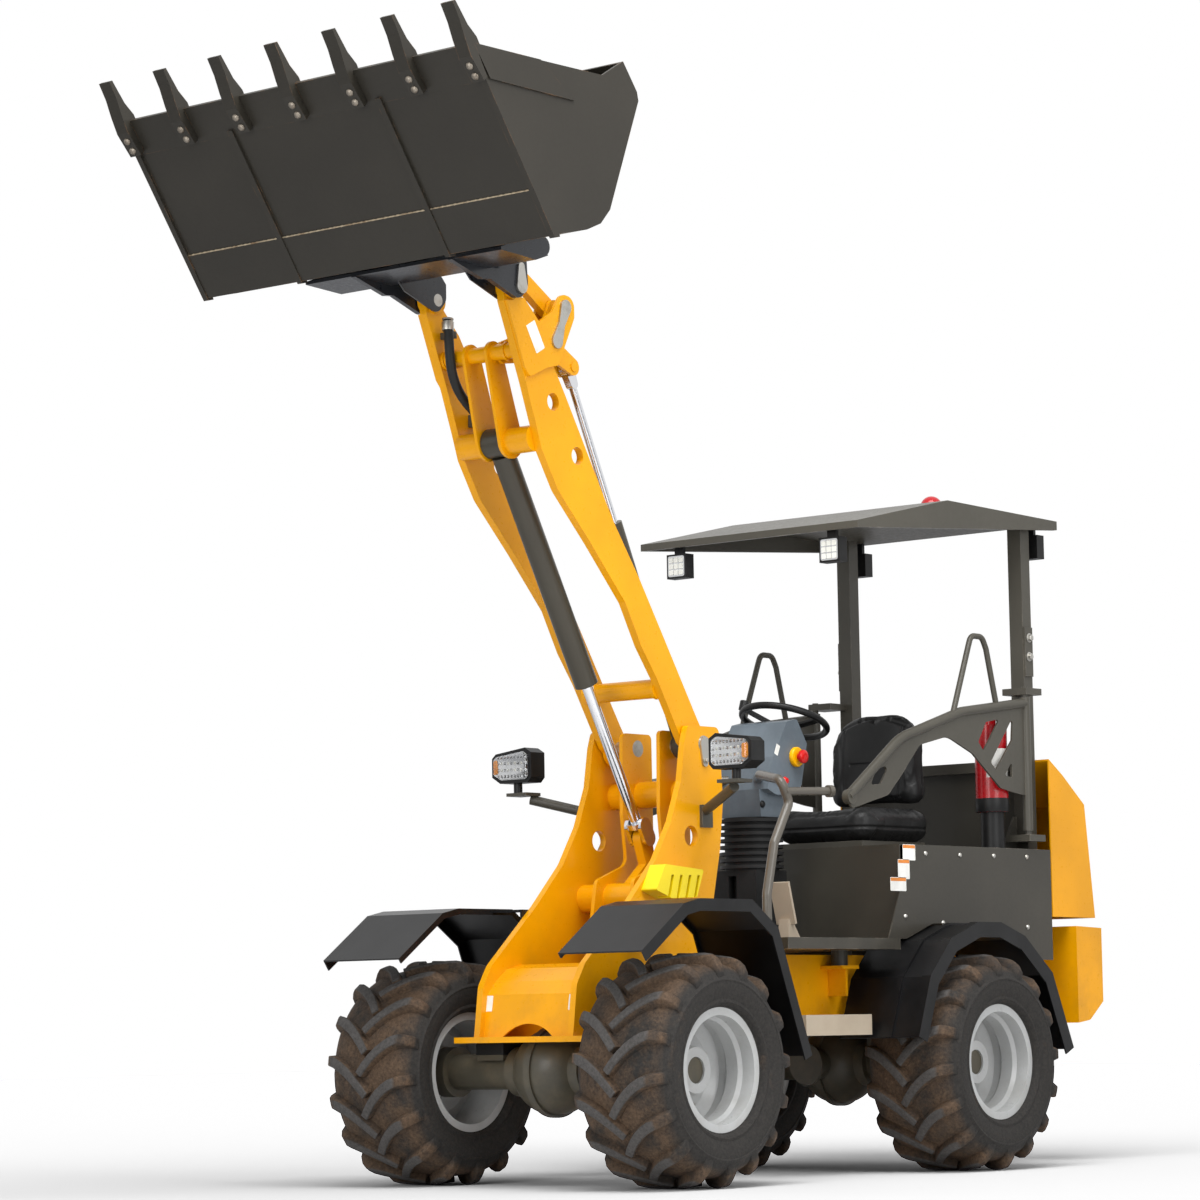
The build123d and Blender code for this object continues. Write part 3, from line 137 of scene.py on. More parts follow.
def plasticMaterial(name, colour, roughness, grain, bump, coat=0.0):
    # moulded plastic or rubber: an even dull skin with a fine grain, its size in millimetres
    shader = {"Roughness": roughness, "Coat Weight": coat, "Specular IOR Level": 0.25}
    material, tree, principled, coords = newMaterial(name, shader)
    settings = {"Vector": coords, "Scale": scaleFor(166.7), "Detail": 5.0, "Roughness": 0.6}
    broad = addNode(tree, "ShaderNodeTexNoise", settings)
    base = srgb(colour)
    paler = [min(1.0, c * 1.35 + 0.004) for c in base[:3]] + [1.0]
    patches = addNode(tree, "ShaderNodeMapRange", {"Value": broad.outputs["Fac"], 1: 0.4, 2: 0.7})
    tone = addNode(tree, "ShaderNodeMix", {0: patches.outputs[0], 6: base, 7: paler}, data_type="RGBA")
    tree.links.new(tone.outputs[2], principled.inputs["Base Color"])
    pores = addNode(tree, "ShaderNodeTexVoronoi", {"Vector": coords, "Scale": scaleFor(grain)})
    height = {"Height": pores.outputs["Distance"], "Strength": bump, "Distance": 0.0005}
    tree.links.new(addNode(tree, "ShaderNodeBump", height).outputs[0], principled.inputs["Normal"])
    return material


def metalMaterial(name, colour, roughness, stain, streak=(400.0, 400.0, 12.0), bump=0.08):
    # bare or plated steel: bright, with drawn streaks 2.5 mm apart and a few stains
    material, tree, principled, coords = newMaterial(name, {"Metallic": 1.0})
    mapping = addNode(tree, "ShaderNodeMapping", {"Vector": coords, "Scale": streak})
    drawn = {"Vector": mapping.outputs["Vector"], "Scale": 1.0, "Detail": 3.0, "Roughness": 0.6}
    lines = addNode(tree, "ShaderNodeTexNoise", drawn).outputs["Fac"]
    settings = {"Vector": coords, "Scale": scaleFor(71.43), "Detail": 6.0, "Roughness": 0.7}
    blotch = addNode(tree, "ShaderNodeTexNoise", settings).outputs["Fac"]
    patches = addNode(tree, "ShaderNodeMapRange", {"Value": blotch, 1: 0.5, 2: 0.72})
    tone = addNode(tree, "ShaderNodeMix", {0: patches.outputs[0], 6: srgb(colour), 7: srgb(stain)},
                   data_type="RGBA")
    tree.links.new(tone.outputs[2], principled.inputs["Base Color"])
    sheen = {"Value": lines, 1: 0.3, 2: 0.7, 3: roughness - 0.08, 4: roughness + 0.14}
    tree.links.new(addNode(tree, "ShaderNodeMapRange", sheen).outputs[0], principled.inputs["Roughness"])
    height = addNode(tree, "ShaderNodeBump", {"Height": lines, "Strength": bump, "Distance": 0.0006})
    tree.links.new(height.outputs[0], principled.inputs["Normal"])
    return material


def tyreMaterial(name, centre):
    # vulcanised rubber: dry mud between the lugs, grey-black walls and worn tops of the lugs
    shader = {"Roughness": 0.78, "Specular IOR Level": 0.25}
    material, tree, principled, coords = newMaterial(name, shader)
    settings = {"Vector": coords, "Scale": scaleFor(142.86), "Detail": 10.0, "Roughness": 0.7}
    broad = addNode(tree, "ShaderNodeTexNoise", settings).outputs["Fac"]
    settings = {"Vector": coords, "Scale": scaleFor(11.11), "Detail": 8.0, "Roughness": 0.75}
    fine = addNode(tree, "ShaderNodeTexNoise", settings).outputs["Fac"]
    offset = {0: coords, 1: (1.0, 0.0, 1.0), 2: (-centre.x, 0.0, -centre.z)}
    flat = addNode(tree, "ShaderNodeVectorMath", offset, operation="MULTIPLY_ADD")
    reach = addNode(tree, "ShaderNodeVectorMath", {0: flat.outputs[0]}, operation="LENGTH").outputs["Value"]
    tones = {}
    for key, low, high, dark, light in (("rubber", 0.35, 0.7, "1f1e1d", "35322f"),
                                        ("worn", 0.35, 0.7, "3a3836", "565351"),
                                        ("mud", 0.3, 0.75, "2f251d", "6b5643")):
        spots = addNode(tree, "ShaderNodeMapRange", {"Value": fine, 1: low, 2: high})
        tones[key] = addNode(tree, "ShaderNodeMix", {0: spots.outputs[0], 6: srgb(dark), 7: srgb(light)},
                             data_type="RGBA").outputs[2]
    lugTop = addNode(tree, "ShaderNodeMapRange", {"Value": reach, 1: 0.3845, 2: 0.3885})
    tread = addNode(tree, "ShaderNodeMapRange", {"Value": reach, 1: 0.325, 2: 0.352})
    caked = addNode(tree, "ShaderNodeMapRange", {"Value": broad, 1: 0.36, 2: 0.56})
    valley = addNode(tree, "ShaderNodeMath", {0: tread.outputs[0], 1: caked.outputs[0]},
                     operation="MULTIPLY")
    speckle = addNode(tree, "ShaderNodeMapRange", {"Value": broad, 1: 0.6, 2: 0.74, 4: 0.5})
    layers = tones["rubber"]
    for factor, colour in ((speckle, tones["mud"]), (valley, tones["mud"]), (lugTop, tones["worn"])):
        layers = addNode(tree, "ShaderNodeMix", {0: factor.outputs[0], 6: layers, 7: colour},
                         data_type="RGBA").outputs[2]
    tree.links.new(layers, principled.inputs["Base Color"])
    height = addNode(tree, "ShaderNodeBump", {"Height": fine, "Strength": 0.55, "Distance": 0.003})
    tree.links.new(height.outputs[0], principled.inputs["Normal"])
    return material


def lensMaterial(name, colour, roughness, **more):
    # moulded polycarbonate, or plated chrome behind it: very smooth, with faint dust
    shader = {socket.replace("_", " "): value for socket, value in more.items()}
    material, tree, principled, coords = newMaterial(name, {"Emission Color": srgb(colour), **shader})
    settings = {"Vector": coords, "Scale": scaleFor(18.18), "Detail": 6.0, "Roughness": 0.7}
    dust = addNode(tree, "ShaderNodeTexNoise", settings).outputs["Fac"]
    film = addNode(tree, "ShaderNodeMapRange", {"Value": dust, 1: 0.5, 2: 0.8, 4: 0.3})
    tone = addNode(tree, "ShaderNodeMix", {0: film.outputs[0], 6: srgb(colour), 7: srgb(colour, 0.8)},
                   data_type="RGBA")
    tree.links.new(tone.outputs[2], principled.inputs["Base Color"])
    sheen = {"Value": dust, 1: 0.4, 2: 0.75, 3: roughness, 4: roughness + 0.15}
    tree.links.new(addNode(tree, "ShaderNodeMapRange", sheen).outputs[0], principled.inputs["Roughness"])
    return material


# colour, dust, roughness, share of dust, colour of rubbed edges, clear coat
paints = {
    "machinePaint": ("eba200", "6b5232", 0.3, 0.35, None, 0.08),
    "greyPaint": ("49463e", "6d6557", 0.4, 0.3, "8c8478", 0.05),
    "panelPaint": ("3c3932", "6d6557", 0.38, 0.3, "8c8478", 0.05),
    "bucketPaint": ("2c2923", "453b2c", 0.42, 0.25, "7b5a3c", 0.0),
    "hitchPaint": ("24262a", "3a3832", 0.3, 0.2, "55524a"),
    "axlePaint": ("4a463b", "6f6450", 0.4, 0.5, None, 0.1),
    "cylinderPaint": ("3f3b31", "5a5345", 0.35, 0.2, None, 0.15),
    "rimPaint": ("b4b5b4", "7d766a", 0.3, 0.3),
    "redPaint": ("b5121b", "6a3a30", 0.25, 0.1),
    "railPaint": ("5d5850", "716a5e", 0.3, 0.2, "8e8579"),
    "chockPaint": ("f7dc10", "8a7a30", 0.35, 0.1),
    "stepSteel": ("b9ab97", "8f7d66", 0.4, 0.4, "d8cfc0", 0.0),
}
# colour, roughness, grain in millimetres, bump, clear coat
plastics = {
    "hoseRubber": ("191918", 0.5, 1.429, 0.25),
    "whiteFilm": ("d9d8d2", 0.35, 1.667, 0.03, 0.3),
    "orangeFilm": ("c9782a", 0.35, 1.667, 0.03, 0.3),
    "yellowPlastic": ("e8a800", 0.35, 1.667, 0.08),
    "redPlastic": ("c01410", 0.3, 1.667, 0.05, 0.3),
    "blackRubber": ("161616", 0.6, 2.0, 0.1),
    "fenderPlastic": ("0d0d0e", 0.34, 1.429, 0.1),
    "blackPlastic": ("101010", 0.4, 1.111, 0.15),
    "consolePlastic": ("5a636a", 0.45, 1.25, 0.15),
    "seatVinyl": ("1b1b1b", 0.42, 2.381, 0.35),
}
# colour, roughness, stain, and for the rods a finer, rounder pattern and less bump
metals = {
    "chromeRod": ("dcdde0", 0.1, "dcdde0", (300.0, 300.0, 300.0), 0.02),
    "zincSteel": ("b8b6b0", 0.35, "8f887a"),
    "weldSteel": ("b5a78f", 0.5, "7a5a3c"),
    "wornSteel": ("8d857a", 0.45, "5d5246"),
}
materials = {}
for make, table in ((paintMaterial, paints), (plasticMaterial, plastics), (metalMaterial, metals)):
    for name, values in table.items():
        materials[name] = make(name, *values)
materials["tyreRubber"] = tyreMaterial("tyreRubber", middleOf("rim_front_left"))
materials["rearTyreRubber"] = tyreMaterial("rearTyreRubber", middleOf("rim_rear_left"))
materials["lampChrome"] = lensMaterial("lampChrome", "c9cacb", 0.12, Metallic=1.0)
materials["diodeWhite"] = lensMaterial("diodeWhite", "dcdcd4", 0.2, Emission_Strength=0.05)
materials["amberLens"] = lensMaterial("amberLens", "e08c28", 0.1)
materials["clearCover"] = lensMaterial("clearCover", "fafafa", 0.02, Transmission_Weight=1.0)
print("materials made", len(materials))

nodeFinish = {
    "machinePaint": ["mast_plates", "mast_core", "nose_plate", "steering_yoke", "boom", "rocker", "tilt_link",
                     "rear_frame", "hood", "counterweight"],
    "panelPaint": ["side_panels", "seat_box", "floor"],
    "greyPaint": ["roof", "roof_posts", "gate_left", "gate_right", "gate_pins", "hood_hinge", "lamp_arms",
                  "seat_base"],
    "bucketPaint": ["bucket", "bucket_teeth"],
    "hitchPaint": ["hitch"],
    "axlePaint": ["front_axle", "rear_axle", "engine"],
    "cylinderPaint": ["lift_barrel", "tilt_barrel"],
    "rimPaint": ["rim_" + corner for corner in wheelCorners],
    "tyreRubber": ["tyre_" + corner for corner in wheelCorners],
    "chockPaint": ["wheel_chock"],
    "redPaint": ["extinguisher", "beacon"],
    "railPaint": ["handrails"],
    "blackRubber": ["bellows", "head_hose"],
    "fenderPlastic": ["front_fenders", "rear_fenders"],
    "blackPlastic": ["roof_lamps", "steering_wheel", "headlamps"],
    "consolePlastic": ["console"],
    "seatVinyl": ["seat_cushion", "seat_back"],
    "chromeRod": ["lift_rod", "tilt_rod"],
    "zincSteel": ["boom_pins", "head_pins", "hitch_pins"],
    "stepSteel": ["steps", "pedal"],
}
for finish, names in nodeFinish.items():
    for name in names:
        nodes[name].data.materials.clear()
        nodes[name].data.materials.append(materials[finish])
print("nodes painted", sum(len(names) for names in nodeFinish.values()))


# Tools for making pieces

def deselectAll():
    if bpy.context.object and bpy.context.object.mode != "OBJECT":
        bpy.ops.object.mode_set(mode="OBJECT")
    bpy.ops.object.select_all(action="DESELECT")


def pick(*pieces):
    deselectAll()
    for piece in pieces:
        piece.select_set(True)
    bpy.context.view_layer.objects.active = pieces[0]


def selectFaces(piece, test):
    bpy.ops.mesh.select_mode(type="FACE")
    bpy.ops.mesh.select_all(action="DESELECT")
    shape = bmesh.from_edit_mesh(piece.data)
    for face in shape.faces:
        if test(face):
            face.select_set(True)
    bmesh.update_edit_mesh(piece.data)


def selectEdges(piece, test):
    bpy.ops.mesh.select_mode(type="EDGE")
    bpy.ops.mesh.select_all(action="DESELECT")
    shape = bmesh.from_edit_mesh(piece.data)
    for edge in shape.edges:
        if test(edge.verts[0].co, edge.verts[1].co):
            edge.select_set(True)
    bmesh.update_edit_mesh(piece.data)


def applyModifier(piece, kind, **settings):
    pick(piece)
    modifier = piece.modifiers.new(kind.lower(), kind)
    for name, value in settings.items():
        setattr(modifier, name, value)
    bpy.ops.object.modifier_apply(modifier=modifier.name)


def applyPlace(piece):
    pick(piece)
    bpy.ops.object.transform_apply(location=True, rotation=True, scale=True)


def twin(piece):
    copy = piece.copy()
    copy.data = piece.data.copy()
    bpy.context.scene.collection.objects.link(copy)
    return copy


def place(piece, point, pointing=(0, 0, 1), twist=0.0):
    # the piece's own Z goes along pointing, and its Y as near upright as it can
    out = Vector(pointing).normalized()
    side = Vector((0, 0, 1)).cross(out) if abs(out.z) < 0.99 else Vector((1, 0, 0))
    side.normalize()
    turn = Matrix((side, out.cross(side), out)).transposed().to_4x4()
    piece.matrix_world = Matrix.Translation(Vector(point)) @ turn @ Matrix.Rotation(twist, 4, "Z")


def joinAll(pieces):
    pick(*pieces)
    bpy.ops.object.transform_apply(location=True, rotation=True, scale=True)
    if len(pieces) > 1:
        bpy.ops.object.join()
    return bpy.context.view_layer.objects.active


def finishPiece(piece, name, finish, body, smooth=40):
    applyPlace(piece)
    piece.name = name
    piece.data.name = name
    piece.data.materials.clear()
    piece.data.materials.append(materials[finish])
    bpy.ops.object.shade_smooth_by_angle(angle=math.radians(smooth))
    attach(piece, body)
    deselectAll()


def lathe(profile, segments=32):
    # profile is (radius, height); a circle is drawn out ring by ring about Z
    deselectAll()
    radius, height = profile[0]
    bpy.ops.mesh.primitive_circle_add(vertices=segments, radius=radius, location=(0, 0, 0))
    piece = bpy.context.object
    bpy.ops.object.mode_set(mode="EDIT")
    bpy.ops.mesh.select_all(action="SELECT")
    bpy.ops.transform.translate(value=(0, 0, height))
    for newRadius, newHeight in profile[1:]:
        bpy.ops.mesh.extrude_edges_move(TRANSFORM_OT_translate={"value": (0, 0, newHeight - height)})
        share = newRadius / radius
        bpy.ops.transform.resize(value=(share, share, 1.0), center_override=(0, 0, 0))
        radius, height = newRadius, newHeight
    bpy.ops.mesh.select_all(action="SELECT")
    bpy.ops.mesh.remove_doubles(threshold=0.00002)
    bpy.ops.mesh.normals_make_consistent(inside=False)
    bpy.ops.object.mode_set(mode="OBJECT")
    return piece


def hexBolt(size):
    # washer and six-sided head, standing on the origin
    deselectAll()
    bpy.ops.mesh.primitive_cylinder_add(vertices=6, radius=size, depth=size * 0.8,
                                        location=(0, 0, size * 0.6))
    head = bpy.context.object
    applyPlace(head)
    bpy.ops.object.mode_set(mode="EDIT")
    selectFaces(head, lambda face: face.normal.z > 0.9)
    bpy.ops.mesh.inset(thickness=size * 0.14)
    bpy.ops.transform.translate(value=(0, 0, size * 0.1))
    bpy.ops.object.mode_set(mode="OBJECT")
    applyModifier(head, "BEVEL", width=size * 0.05, segments=2)
    washerRings = [(0.3, 0.0), (1.3, 0.0), (1.4, 0.06), (1.4, 0.18), (1.3, 0.24), (0.3, 0.24)]
    washer = lathe([(size * radius, size * height) for radius, height in washerRings], 24)
    return joinAll([head, washer])


def domeRivet(size):
    rings = [(1.0, 0.0), (0.97, 0.15), (0.8, 0.42), (0.5, 0.62), (0.12, 0.7), (0.01, 0.7)]
    return lathe([(size * radius, size * height) for radius, height in rings], 16)


def fixings(name, model, spots, finish, body):
    copies = []
    for index, (point, direction) in enumerate(spots):
        copy = twin(model)
        place(copy, point, direction, 0.4 * index)
        copies.append(copy)
    bpy.data.objects.remove(model)
    finishPiece(joinAll(copies), name, finish, body)


def thinPlate(width, height, thick, corner):
    # a plate in XY with rounded corners, standing on the origin
    deselectAll()
    bpy.ops.mesh.primitive_plane_add(size=1.0, location=(0, 0, 0))
    plate = bpy.context.object
    plate.scale = (width, height, 1.0)
    applyPlace(plate)
    bpy.ops.object.mode_set(mode="EDIT")
    bpy.ops.mesh.select_all(action="SELECT")
    bpy.ops.mesh.bevel(offset=corner, segments=4, affect="VERTICES")
    bpy.ops.mesh.select_all(action="SELECT")
    bpy.ops.mesh.extrude_region_move(TRANSFORM_OT_translate={"value": (0, 0, thick)})
    bpy.ops.mesh.select_all(action="SELECT")
    bpy.ops.mesh.normals_make_consistent(inside=False)
    bpy.ops.object.mode_set(mode="OBJECT")
    return plate


# Tyres: a spun case with curved lugs, alternating from the centre line

# millimetres: the lug's path is (share, off the centre line, round the tyre), tables are (off, radius)
tyre = {
    "lugs": 16,
    "lugPath": [(0.0, -12, 0), (0.13, 14, 30), (0.27, 42, 58), (0.42, 72, 83), (0.57, 103, 103),
                (0.7, 130, 116), (0.82, 155, 123), (0.91, 174, 126), (1.0, 192, 127)],
    "lugTop": [(0, 393), (120, 393), (145, 390), (162, 383), (178, 366), (192, 343)],
    "lugFoot": [(0, 357.5), (60, 357), (110, 354), (145, 347), (168, 335), (183, 320), (192, 303)],
    "halfTop": 13,
    "halfFoot": 21,
    "spread": 0.35,
    "widest": 195.0,
    "rolling": 385.0,
    "bevel": 0.0035,
    "wall": [(0, 363.5), (60, 363), (110, 360), (145, 353), (168, 341), (183, 326), (190, 313),
             (193.5, 306), (196, 304), (198, 301.5), (198, 298), (196, 295.5), (196.6, 288), (195, 268),
             (190, 248), (186, 237), (187.5, 233), (188, 227), (184, 222), (178, 217), (168, 213.5),
             (163, 206), (160, 194)],
}


def along(table, value):
    for (x0, y0), (x1, y1) in zip(table, table[1:]):
        if value <= x1:
            return y0 + (y1 - y0) * (value - x0) / (x1 - x0)
    return table[-1][1]


def makeLug():
    deselectAll()
    bpy.ops.mesh.primitive_cube_add(size=1.0, location=(0.5, 0.0, 0.5))
    lug = bpy.context.object
    applyPlace(lug)
    bpy.ops.object.mode_set(mode="EDIT")
    for share, _, _ in tyre["lugPath"][1:-1]:
        bpy.ops.mesh.select_all(action="SELECT")
        bpy.ops.mesh.bisect(plane_co=(share, 0, 0), plane_no=(1, 0, 0))
    bpy.ops.object.mode_set(mode="OBJECT")
    sides = [(s, y) for s, y, _ in tyre["lugPath"]]
    rounds = [(s, c) for s, _, c in tyre["lugPath"]]
    for vertex in lug.data.vertices:
        share, across, high = vertex.co
        y, c = along(sides, share), along(rounds, share)
        before, after = max(0.0, share - 0.05), min(1.0, share + 0.05)
        stepY = along(sides, after) - along(sides, before)
        stepC = along(rounds, after) - along(rounds, before)
        size = math.hypot(stepY, stepC)
        half = tyre["halfTop"] if high > 0.5 else tyre["halfFoot"]
        half *= 1.0 + tyre["spread"] * share
        if high < 0.5 and share > 0.99:
            y -= 1.0
        y -= 2 * across * half * stepC / size
        c += 2 * across * half * stepY / size
        y = min(y, tyre["widest"])
        radius = along(tyre["lugTop" if high > 0.5 else "lugFoot"], max(0, y)) / 1000
        angle = c / tyre["rolling"]
        vertex.co = (radius * math.cos(angle), y / 1000, radius * math.sin(angle))
    applyModifier(lug, "BEVEL", width=tyre["bevel"], segments=2, limit_method="ANGLE",
                  angle_limit=math.radians(38))
    return lug


wall = [(radius / 1000, off / 1000) for off, radius in tyre["wall"]]
profile = [(radius, -off) for radius, off in reversed(wall)] + wall[1:]
profile.append(profile[0])
carcass = lathe(profile, 96)
place(carcass, (0, 0, 0), (0, 1, 0))
lugs = []
lug = makeLug()
otherLug = twin(lug)
otherLug.scale = (1, -1, 1)
applyPlace(otherLug)
bpy.ops.object.mode_set(mode="EDIT")
bpy.ops.mesh.select_all(action="SELECT")
bpy.ops.mesh.normals_make_consistent(inside=False)
bpy.ops.object.mode_set(mode="OBJECT")
for index in range(tyre["lugs"]):
    for model, shift in ((lug, 0.0), (otherLug, 0.5)):
        copy = twin(model)
        copy.matrix_world = Matrix.Rotation((index + shift) * math.tau / tyre["lugs"], 4, "Y")
        lugs.append(copy)
bpy.data.objects.remove(lug)
bpy.data.objects.remove(otherLug)
wholeTyre = joinAll([carcass] + lugs)
for corner in wheelCorners:
    piece = twin(wholeTyre)
    piece.location = middleOf("tyre_" + corner)
    finish = "tyreRubber" if "front" in corner else "rearTyreRubber"
    finishPiece(piece, "tread_" + corner, finish, "wheel_" + corner, 34)
    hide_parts("tyre_" + corner)
bpy.data.objects.remove(wholeTyre)
print("tyres made")


# Wheel nuts and valves

wheelNuts = {"count": 8, "circle": 0.128, "size": 0.0125, "seat": -0.008}
valve = {
    "place": (0.158, 0.0, 0.03),
    "rings": [(0.007, 0.0), (0.007, 0.012), (0.004, 0.014), (0.004, 0.034), (0.0052, 0.035),
              (0.0052, 0.044), (0.001, 0.045)],
}

for corner in wheelCorners:
    centre = middleOf("rim_" + corner)
    out = 1 if "left" in corner else -1
    spots = []
    for index in range(wheelNuts["count"]):
        angle = math.tau * (index + 0.5) / wheelNuts["count"]
        offset = Vector((math.cos(angle), 0, math.sin(angle))) * wheelNuts["circle"]
        spots.append((centre + offset + Vector((0, out * wheelNuts["seat"], 0)), (0, out, 0)))
    fixings("nuts_" + corner, hexBolt(wheelNuts["size"]), spots, "zincSteel", "wheel_" + corner)
    stem = lathe(valve["rings"], 14)
    place(stem, centre + Vector(valve["place"]), (0, out, 0))
    finishPiece(stem, "valve_" + corner, "blackRubber", "wheel_" + corner)
print("wheel nuts made")


# Seat: two padded pieces, blown up by a short cloth run, with sewn channels after it

seat = {
    "cushionInset": 0.02,
    "cushionCorner": 0.07,
    "cushionRoll": 0.036,
    "hollow": 0.02,
    "backInset": 0.018,
    "backThinner": 0.042,
    "backShoulder": 0.15,
    "backFoot": 0.05,
    "backRoll": 0.022,
    "bolster": 0.026,
    "voxel": 0.006,
    "pressure": 4.0,
    "cap": 0.016,
    "channel": 0.004,
    "channelWidth": 0.009,
}


def blowUp(piece):
    # remeshed, swelled with no gravity, and no point let further than the cap
    applyModifier(piece, "REMESH", mode="VOXEL", voxel_size=seat["voxel"])
    start = [vertex.co.copy() for vertex in piece.data.vertices]
    pick(piece)
    cloth = piece.modifiers.new("cloth", "CLOTH")
    cloth.settings.use_pressure = True
    cloth.settings.uniform_pressure_force = seat["pressure"]
    cloth.settings.effector_weights.gravity = 0.0
    cloth.settings.quality = 4
    for count in range(1, 21):
        bpy.context.scene.frame_set(count)
    bpy.ops.object.modifier_apply(modifier=cloth.name)
    bpy.context.scene.frame_set(1)
    for vertex, old in zip(piece.data.vertices, start):
        step = vertex.co - old
        if step.length > seat["cap"]:
            vertex.co = old + step * (seat["cap"] / step.length)


def sewLine(piece, distance):
    # distance gives how far a point is from the seam; the seam is drawn in along the surface normal
    for vertex in piece.data.vertices:
        share = distance(vertex.co) / seat["channelWidth"]
        if share < 1:
            vertex.co -= vertex.normal * seat["channel"] * (1 - share ** 2) ** 2


low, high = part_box("seat_cushion")
middle, size = (low + high) / 2, high - low
inset = seat["cushionInset"]
deselectAll()
bpy.ops.mesh.primitive_cube_add(size=1.0, location=middle)
cushion = bpy.context.object
cushion.scale = (size.x - 2 * inset, size.y - 2 * inset, size.z - 1.3 * inset)
applyPlace(cushion)
bpy.ops.object.mode_set(mode="EDIT")
selectEdges(cushion, lambda a, b: abs(a.z - b.z) > 0.05)
bpy.ops.mesh.bevel(offset=seat["cushionCorner"], segments=6)
bpy.ops.object.mode_set(mode="OBJECT")
applyModifier(cushion, "BEVEL", width=seat["cushionRoll"], segments=5, limit_method="ANGLE",
              angle_limit=math.radians(60))
blowUp(cushion)
for vertex in cushion.data.vertices:
    if vertex.co.z > middle.z:
        # the sides stand up as bolsters, and the middle is hollowed for sitting
        side = abs(vertex.co.y - middle.y) / (size.y / 2)
        fore = (vertex.co.x - middle.x) / (size.x / 2)
        dish = max(0.0, 1 - (side / 0.7) ** 2) * max(0.0, 1 - (fore / 0.9) ** 2)
        vertex.co.z += 0.006 * (max(0.0, side - 0.55) / 0.45) - seat["hollow"] * dish
applyModifier(cushion, "SUBSURF", levels=1, render_levels=1)


def cushionSeam(point):
    # a seam round the insert on top, one channel across it, and a side seam all round
    if point.z > middle.z + 0.015:
        x, y = abs(point.x - middle.x - 0.01), abs(point.y - middle.y)
        ring = min(abs(y - 0.155) if x < 0.19 else 1, abs(x - 0.19) if y < 0.155 else 1)
        cross = abs(point.x - middle.x - 0.06) if y < 0.155 else 1
        return min(ring, cross)
    return abs(point.z - middle.z + 0.012)


sewLine(cushion, cushionSeam)
finishPiece(cushion, "cushion_pad", "seatVinyl", "rear_frame", 60)
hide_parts("seat_cushion")

low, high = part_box("seat_back")
backMiddle, backSize = (low + high) / 2, high - low
deselectAll()
bpy.ops.mesh.primitive_cube_add(size=1.0, location=backMiddle)
back = bpy.context.object
inset = seat["backInset"]
back.scale = (backSize.x - seat["backThinner"], backSize.y - 2 * inset, backSize.z - 2 * inset)
applyPlace(back)
bpy.ops.object.mode_set(mode="EDIT")
selectEdges(back, lambda a, b: abs(a.x - b.x) > 0.03 and a.z > backMiddle.z)
bpy.ops.mesh.bevel(offset=seat["backShoulder"], segments=8)
selectEdges(back, lambda a, b: abs(a.x - b.x) > 0.03 and a.z < backMiddle.z and b.z < backMiddle.z)
bpy.ops.mesh.bevel(offset=seat["backFoot"], segments=4)
bpy.ops.object.mode_set(mode="OBJECT")
for vertex in back.data.vertices:
    rise = (vertex.co.z - low.z) / backSize.z
    if vertex.co.x > backMiddle.x:
        vertex.co.x -= 0.03 * rise
applyModifier(back, "BEVEL", width=seat["backRoll"], segments=4, limit_method="ANGLE",
              angle_limit=math.radians(50))
blowUp(back)
for vertex in back.data.vertices:
    if vertex.co.x > backMiddle.x - 0.01:
        side = abs(vertex.co.y - backMiddle.y) / (backSize.y / 2)
        rise = (vertex.co.z - low.z) / backSize.z
        bolster = math.exp(-((side - 0.74) / 0.17) ** 2) * math.exp(-((rise - 0.46) / 0.34) ** 2)
        dish = max(0.0, 1 - (side / 0.55) ** 2) * max(0.0, 1 - ((rise - 0.5) / 0.4) ** 2)
        vertex.co.x += seat["bolster"] * bolster - 0.012 * dish
applyModifier(back, "SUBSURF", levels=1, render_levels=1)


def backSeam(point):
    # an insert with a stepped top, one rail across it, and the bolsters' own seams
    if point.x < backMiddle.x - 0.005:
        return abs(point.x - backMiddle.x + 0.012)
    y, rise = abs(point.y - backMiddle.y), point.z - low.z
    insert = abs(y - 0.118 - 0.02 * math.sin(rise * 7)) if 0.05 < rise < 0.33 else 1
    rail = abs(rise - 0.33 - 0.03 * math.cos(y * 12)) if y < 0.15 else 1
    waist = abs(rise - 0.185) if y < 0.11 else 1
    oval = abs(math.hypot((y - 0.168) / 0.032, (rise - 0.19) / 0.1) - 1) * 0.032
    return min(insert, rail, waist, oval)


sewLine(back, backSeam)
finishPiece(back, "back_pad", "seatVinyl", "rear_frame", 60)
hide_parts("seat_back")
print("seat pads made")


# Headlamps: chrome rows and white diodes in the housing's face, an amber corner and a clear cover

# outline and amber corner are (y, z), a layer is (name, depth, share drawn in, finish)
headlamp = {
    "face": -0.365,
    "outline": [(0.424, 1.450), (0.436, 1.440), (0.553, 1.440), (0.586, 1.459), (0.586, 1.515),
                (0.572, 1.526), (0.446, 1.541), (0.424, 1.527)],
    "layers": (("bowl", 0.002, 0.0, "lampChrome"), ("cover", 0.009, 0.03, "clearCover")),
    "rows": (1.452, 1.474, 1.498, 1.520),
    "inRow": 9,
    "from": 0.436,
    "to": 0.560,
    "amber": (0.573, 1.487),
}

